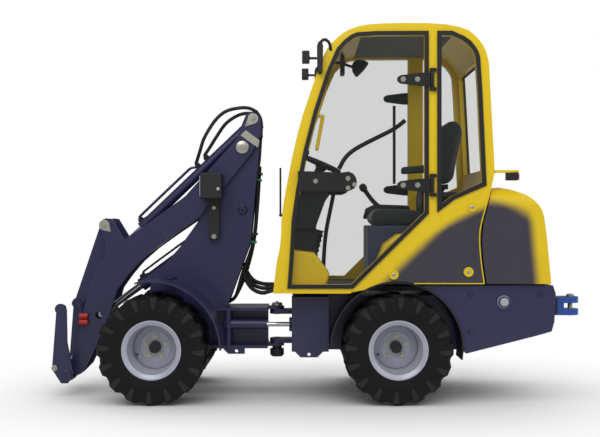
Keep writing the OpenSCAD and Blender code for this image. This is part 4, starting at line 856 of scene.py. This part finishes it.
# Engine, counterweight and rear end: a rough cast block under the hood, a bolted weight with a
# filler cap in its side, tail lamps under yellow ledges, and a glossy blue tow hitch on a dark
# foot with a loose zinc pin. Tail lenses are moulded amber plastic with a coarse pattern.
iron = finish_of("cast_iron", "iron", "#4c4f55", rough=0.6, grain_mm=6, depth=0.3, spread=0.15,
                 Metallic=0.4)
bright_blue = finish_of("bright_blue_enamel", "hitch", "#1d4fae", rough=0.3, grain_mm=2.4,
                        depth=0.05, Coat_Weight=0.3)
amber = finish_of("amber_lens", "red", "#c8481a", rough=0.2, grain_mm=11, depth=0.5, spread=0.1)
dress(iron, "engine", edge=10)
dress(paint, "counterweight", edge=5)
dress(bright_blue, "tow_hitch", edge=4)
dress(plastic, "rear_lamps", edge=4)
weight_y = 418
filler_place = (-1344, weight_y, 593)
filler_ring_profile = [(38, 0), (38, 8), (34, 12), (30, 12), (28, 8)]
filler_knob_profile = [(26, 8), (26, 22), (22, 26), (6, 26)]
piece("filler_cap", [lathe(filler_ring_profile, filler_place, leftward, sides=36),
                     lathe(filler_knob_profile, filler_place, leftward, sides=12)],
      silver, "rear_frame")
weight_bolt_places, weight_bolt_r = ((-1150, 640), (-1150, 420), (-1560, 640)), 11
bolts = []
for x, z in weight_bolt_places:
    bolts += bolt((x, weight_y, z), leftward, weight_bolt_r)
piece("weight_bolts", mirrored(bolts), paint, "rear_frame")
tail_lens_line = [(-1433, 1313), (-1427.2, 1313), (-1427.2, 1348), (-1433, 1348)]
tail_lens_y0, tail_lens_y1 = 404, 436
piece("tail_lenses", mirrored([slab(tail_lens_line, tail_lens_y0, tail_lens_y1)]), amber,
      "rear_frame", soft=1.5)
ledge_top = [(-1289, 1364.2), (-1289, 1368), (-1428, 1368), (-1428, 1364.2)]
ledge_lip = [(-1289, 1350), (-1289, 1368), (-1428, 1368), (-1428, 1356)]
ledge_y, ledge_lip_y, ledge_end_y, lip_end_y = 416, 440.2, 441, 442
ledges = [slab(ledge_top, ledge_y, ledge_end_y), slab(ledge_lip, ledge_lip_y, lip_end_y)]
piece("lamp_ledges", mirrored(ledges), yellow, "rear_frame", soft=1)
hitch_foot_line = [(-1652, 474), (-1652, 595), (-1740, 595), (-1762, 580), (-1762, 489),
                   (-1740, 474)]
hitch_foot_half_w = 52
piece("hitch_foot", [slab(hitch_foot_line, -hitch_foot_half_w, hitch_foot_half_w)], black,
      "rear_frame", soft=4)
tow_pin_x, tow_pin_foot_z, tow_pin_head_z = -1853, 472, 593
shank_profile = [(15, 0), (15, 122), (12, 126)]
pin_head_profile = [(24, 0), (24, 10), (20, 14), (8, 16)]
piece("tow_pin", [lathe(shank_profile, (tow_pin_x, 0, tow_pin_foot_z), (0, 0, 1), sides=24),
                  lathe(pin_head_profile, (tow_pin_x, 0, tow_pin_head_z), (0, 0, 1), sides=24)],
      zinc, "rear_frame")

# Studio: a white sheet that the camera sees as plain white, with a painted soft shadow near the
# machine, and that lights it as pale matt card. The white world lights less than it shows, and two
# large soft lamps stand above its left side.
floor_half_m, painted_shadow_reach_m = 40, 1.4
corner_signs = ((-1, -1), (1, -1), (1, 1), (-1, 1))
floor_mesh = bpy.data.meshes.new("studio_floor")
floor_mesh.from_pydata([(x * floor_half_m, y * floor_half_m, 0) for x, y in corner_signs], [],
                       [(0, 1, 2, 3)])
floor = bpy.data.objects.new("studio_floor", floor_mesh)
scene.collection.objects.link(floor)
pale_floor, tree, out = material("white_sweep_painted_shadow")
seen = add(tree, "LightPath").outputs["Is Camera Ray"]
# For the camera the sheet glows, and occlusion darkens it near the machine: a painted shadow.
near = add(tree, "AmbientOcclusion", Distance=painted_shadow_reach_m)
shade = add(tree, "MapRange", Value=near.outputs["AO"], i1=0.12, i2=0.97, i3=0.03, i4=1.0)
sheet = add(tree, "Emission", Color=shade.outputs[0])
matt = add(tree, "BsdfDiffuse", Color=linear("#d8d8d6"))
both = add(tree, "MixShader", Fac=seen, i1=matt.outputs[0], i2=sheet.outputs[0])
tree.links.new(both.outputs[0], out.inputs[0])
floor.data.materials.append(pale_floor)
world = bpy.data.worlds.new("studio")
scene.world = world
world.use_nodes = True
sky = world.node_tree
paths = add(sky, "LightPath")
clear = add(sky, "Math", {"operation": "MAXIMUM"}, i0=paths.outputs["Is Camera Ray"],
            i1=paths.outputs["Is Transmission Ray"])
level = add(sky, "MapRange", Value=clear.outputs[0], i3=0.55, i4=1.0)
shine = add(sky, "MapRange", Value=paths.outputs["Is Glossy Ray"], i3=1.0, i4=0.5)
strength = add(sky, "Math", {"operation": "MULTIPLY"}, i0=level.outputs[0], i1=shine.outputs[0])
sky.nodes["Background"].inputs[0].default_value = (1, 1, 1, 1)
sky.links.new(strength.outputs[0], sky.nodes["Background"].inputs[1])
lamp_size_m, lit_point = 4.0, Vector((0, 0, 0.9))
for name, spot, watts in (("key_light", (1.5, 4.5, 5.0), 145.0),
                          ("fill_light", (-4.0, 3.0, 3.5), 50.0)):
    lamp = bpy.data.lights.new(name, "AREA")
    lamp.size = lamp_size_m
    lamp.energy = watts
    light = bpy.data.objects.new(name, lamp)
    light.location = spot
    light.rotation_euler = (lit_point - Vector(spot)).to_track_quat("-Z", "Y").to_euler()
    scene.collection.objects.link(light)
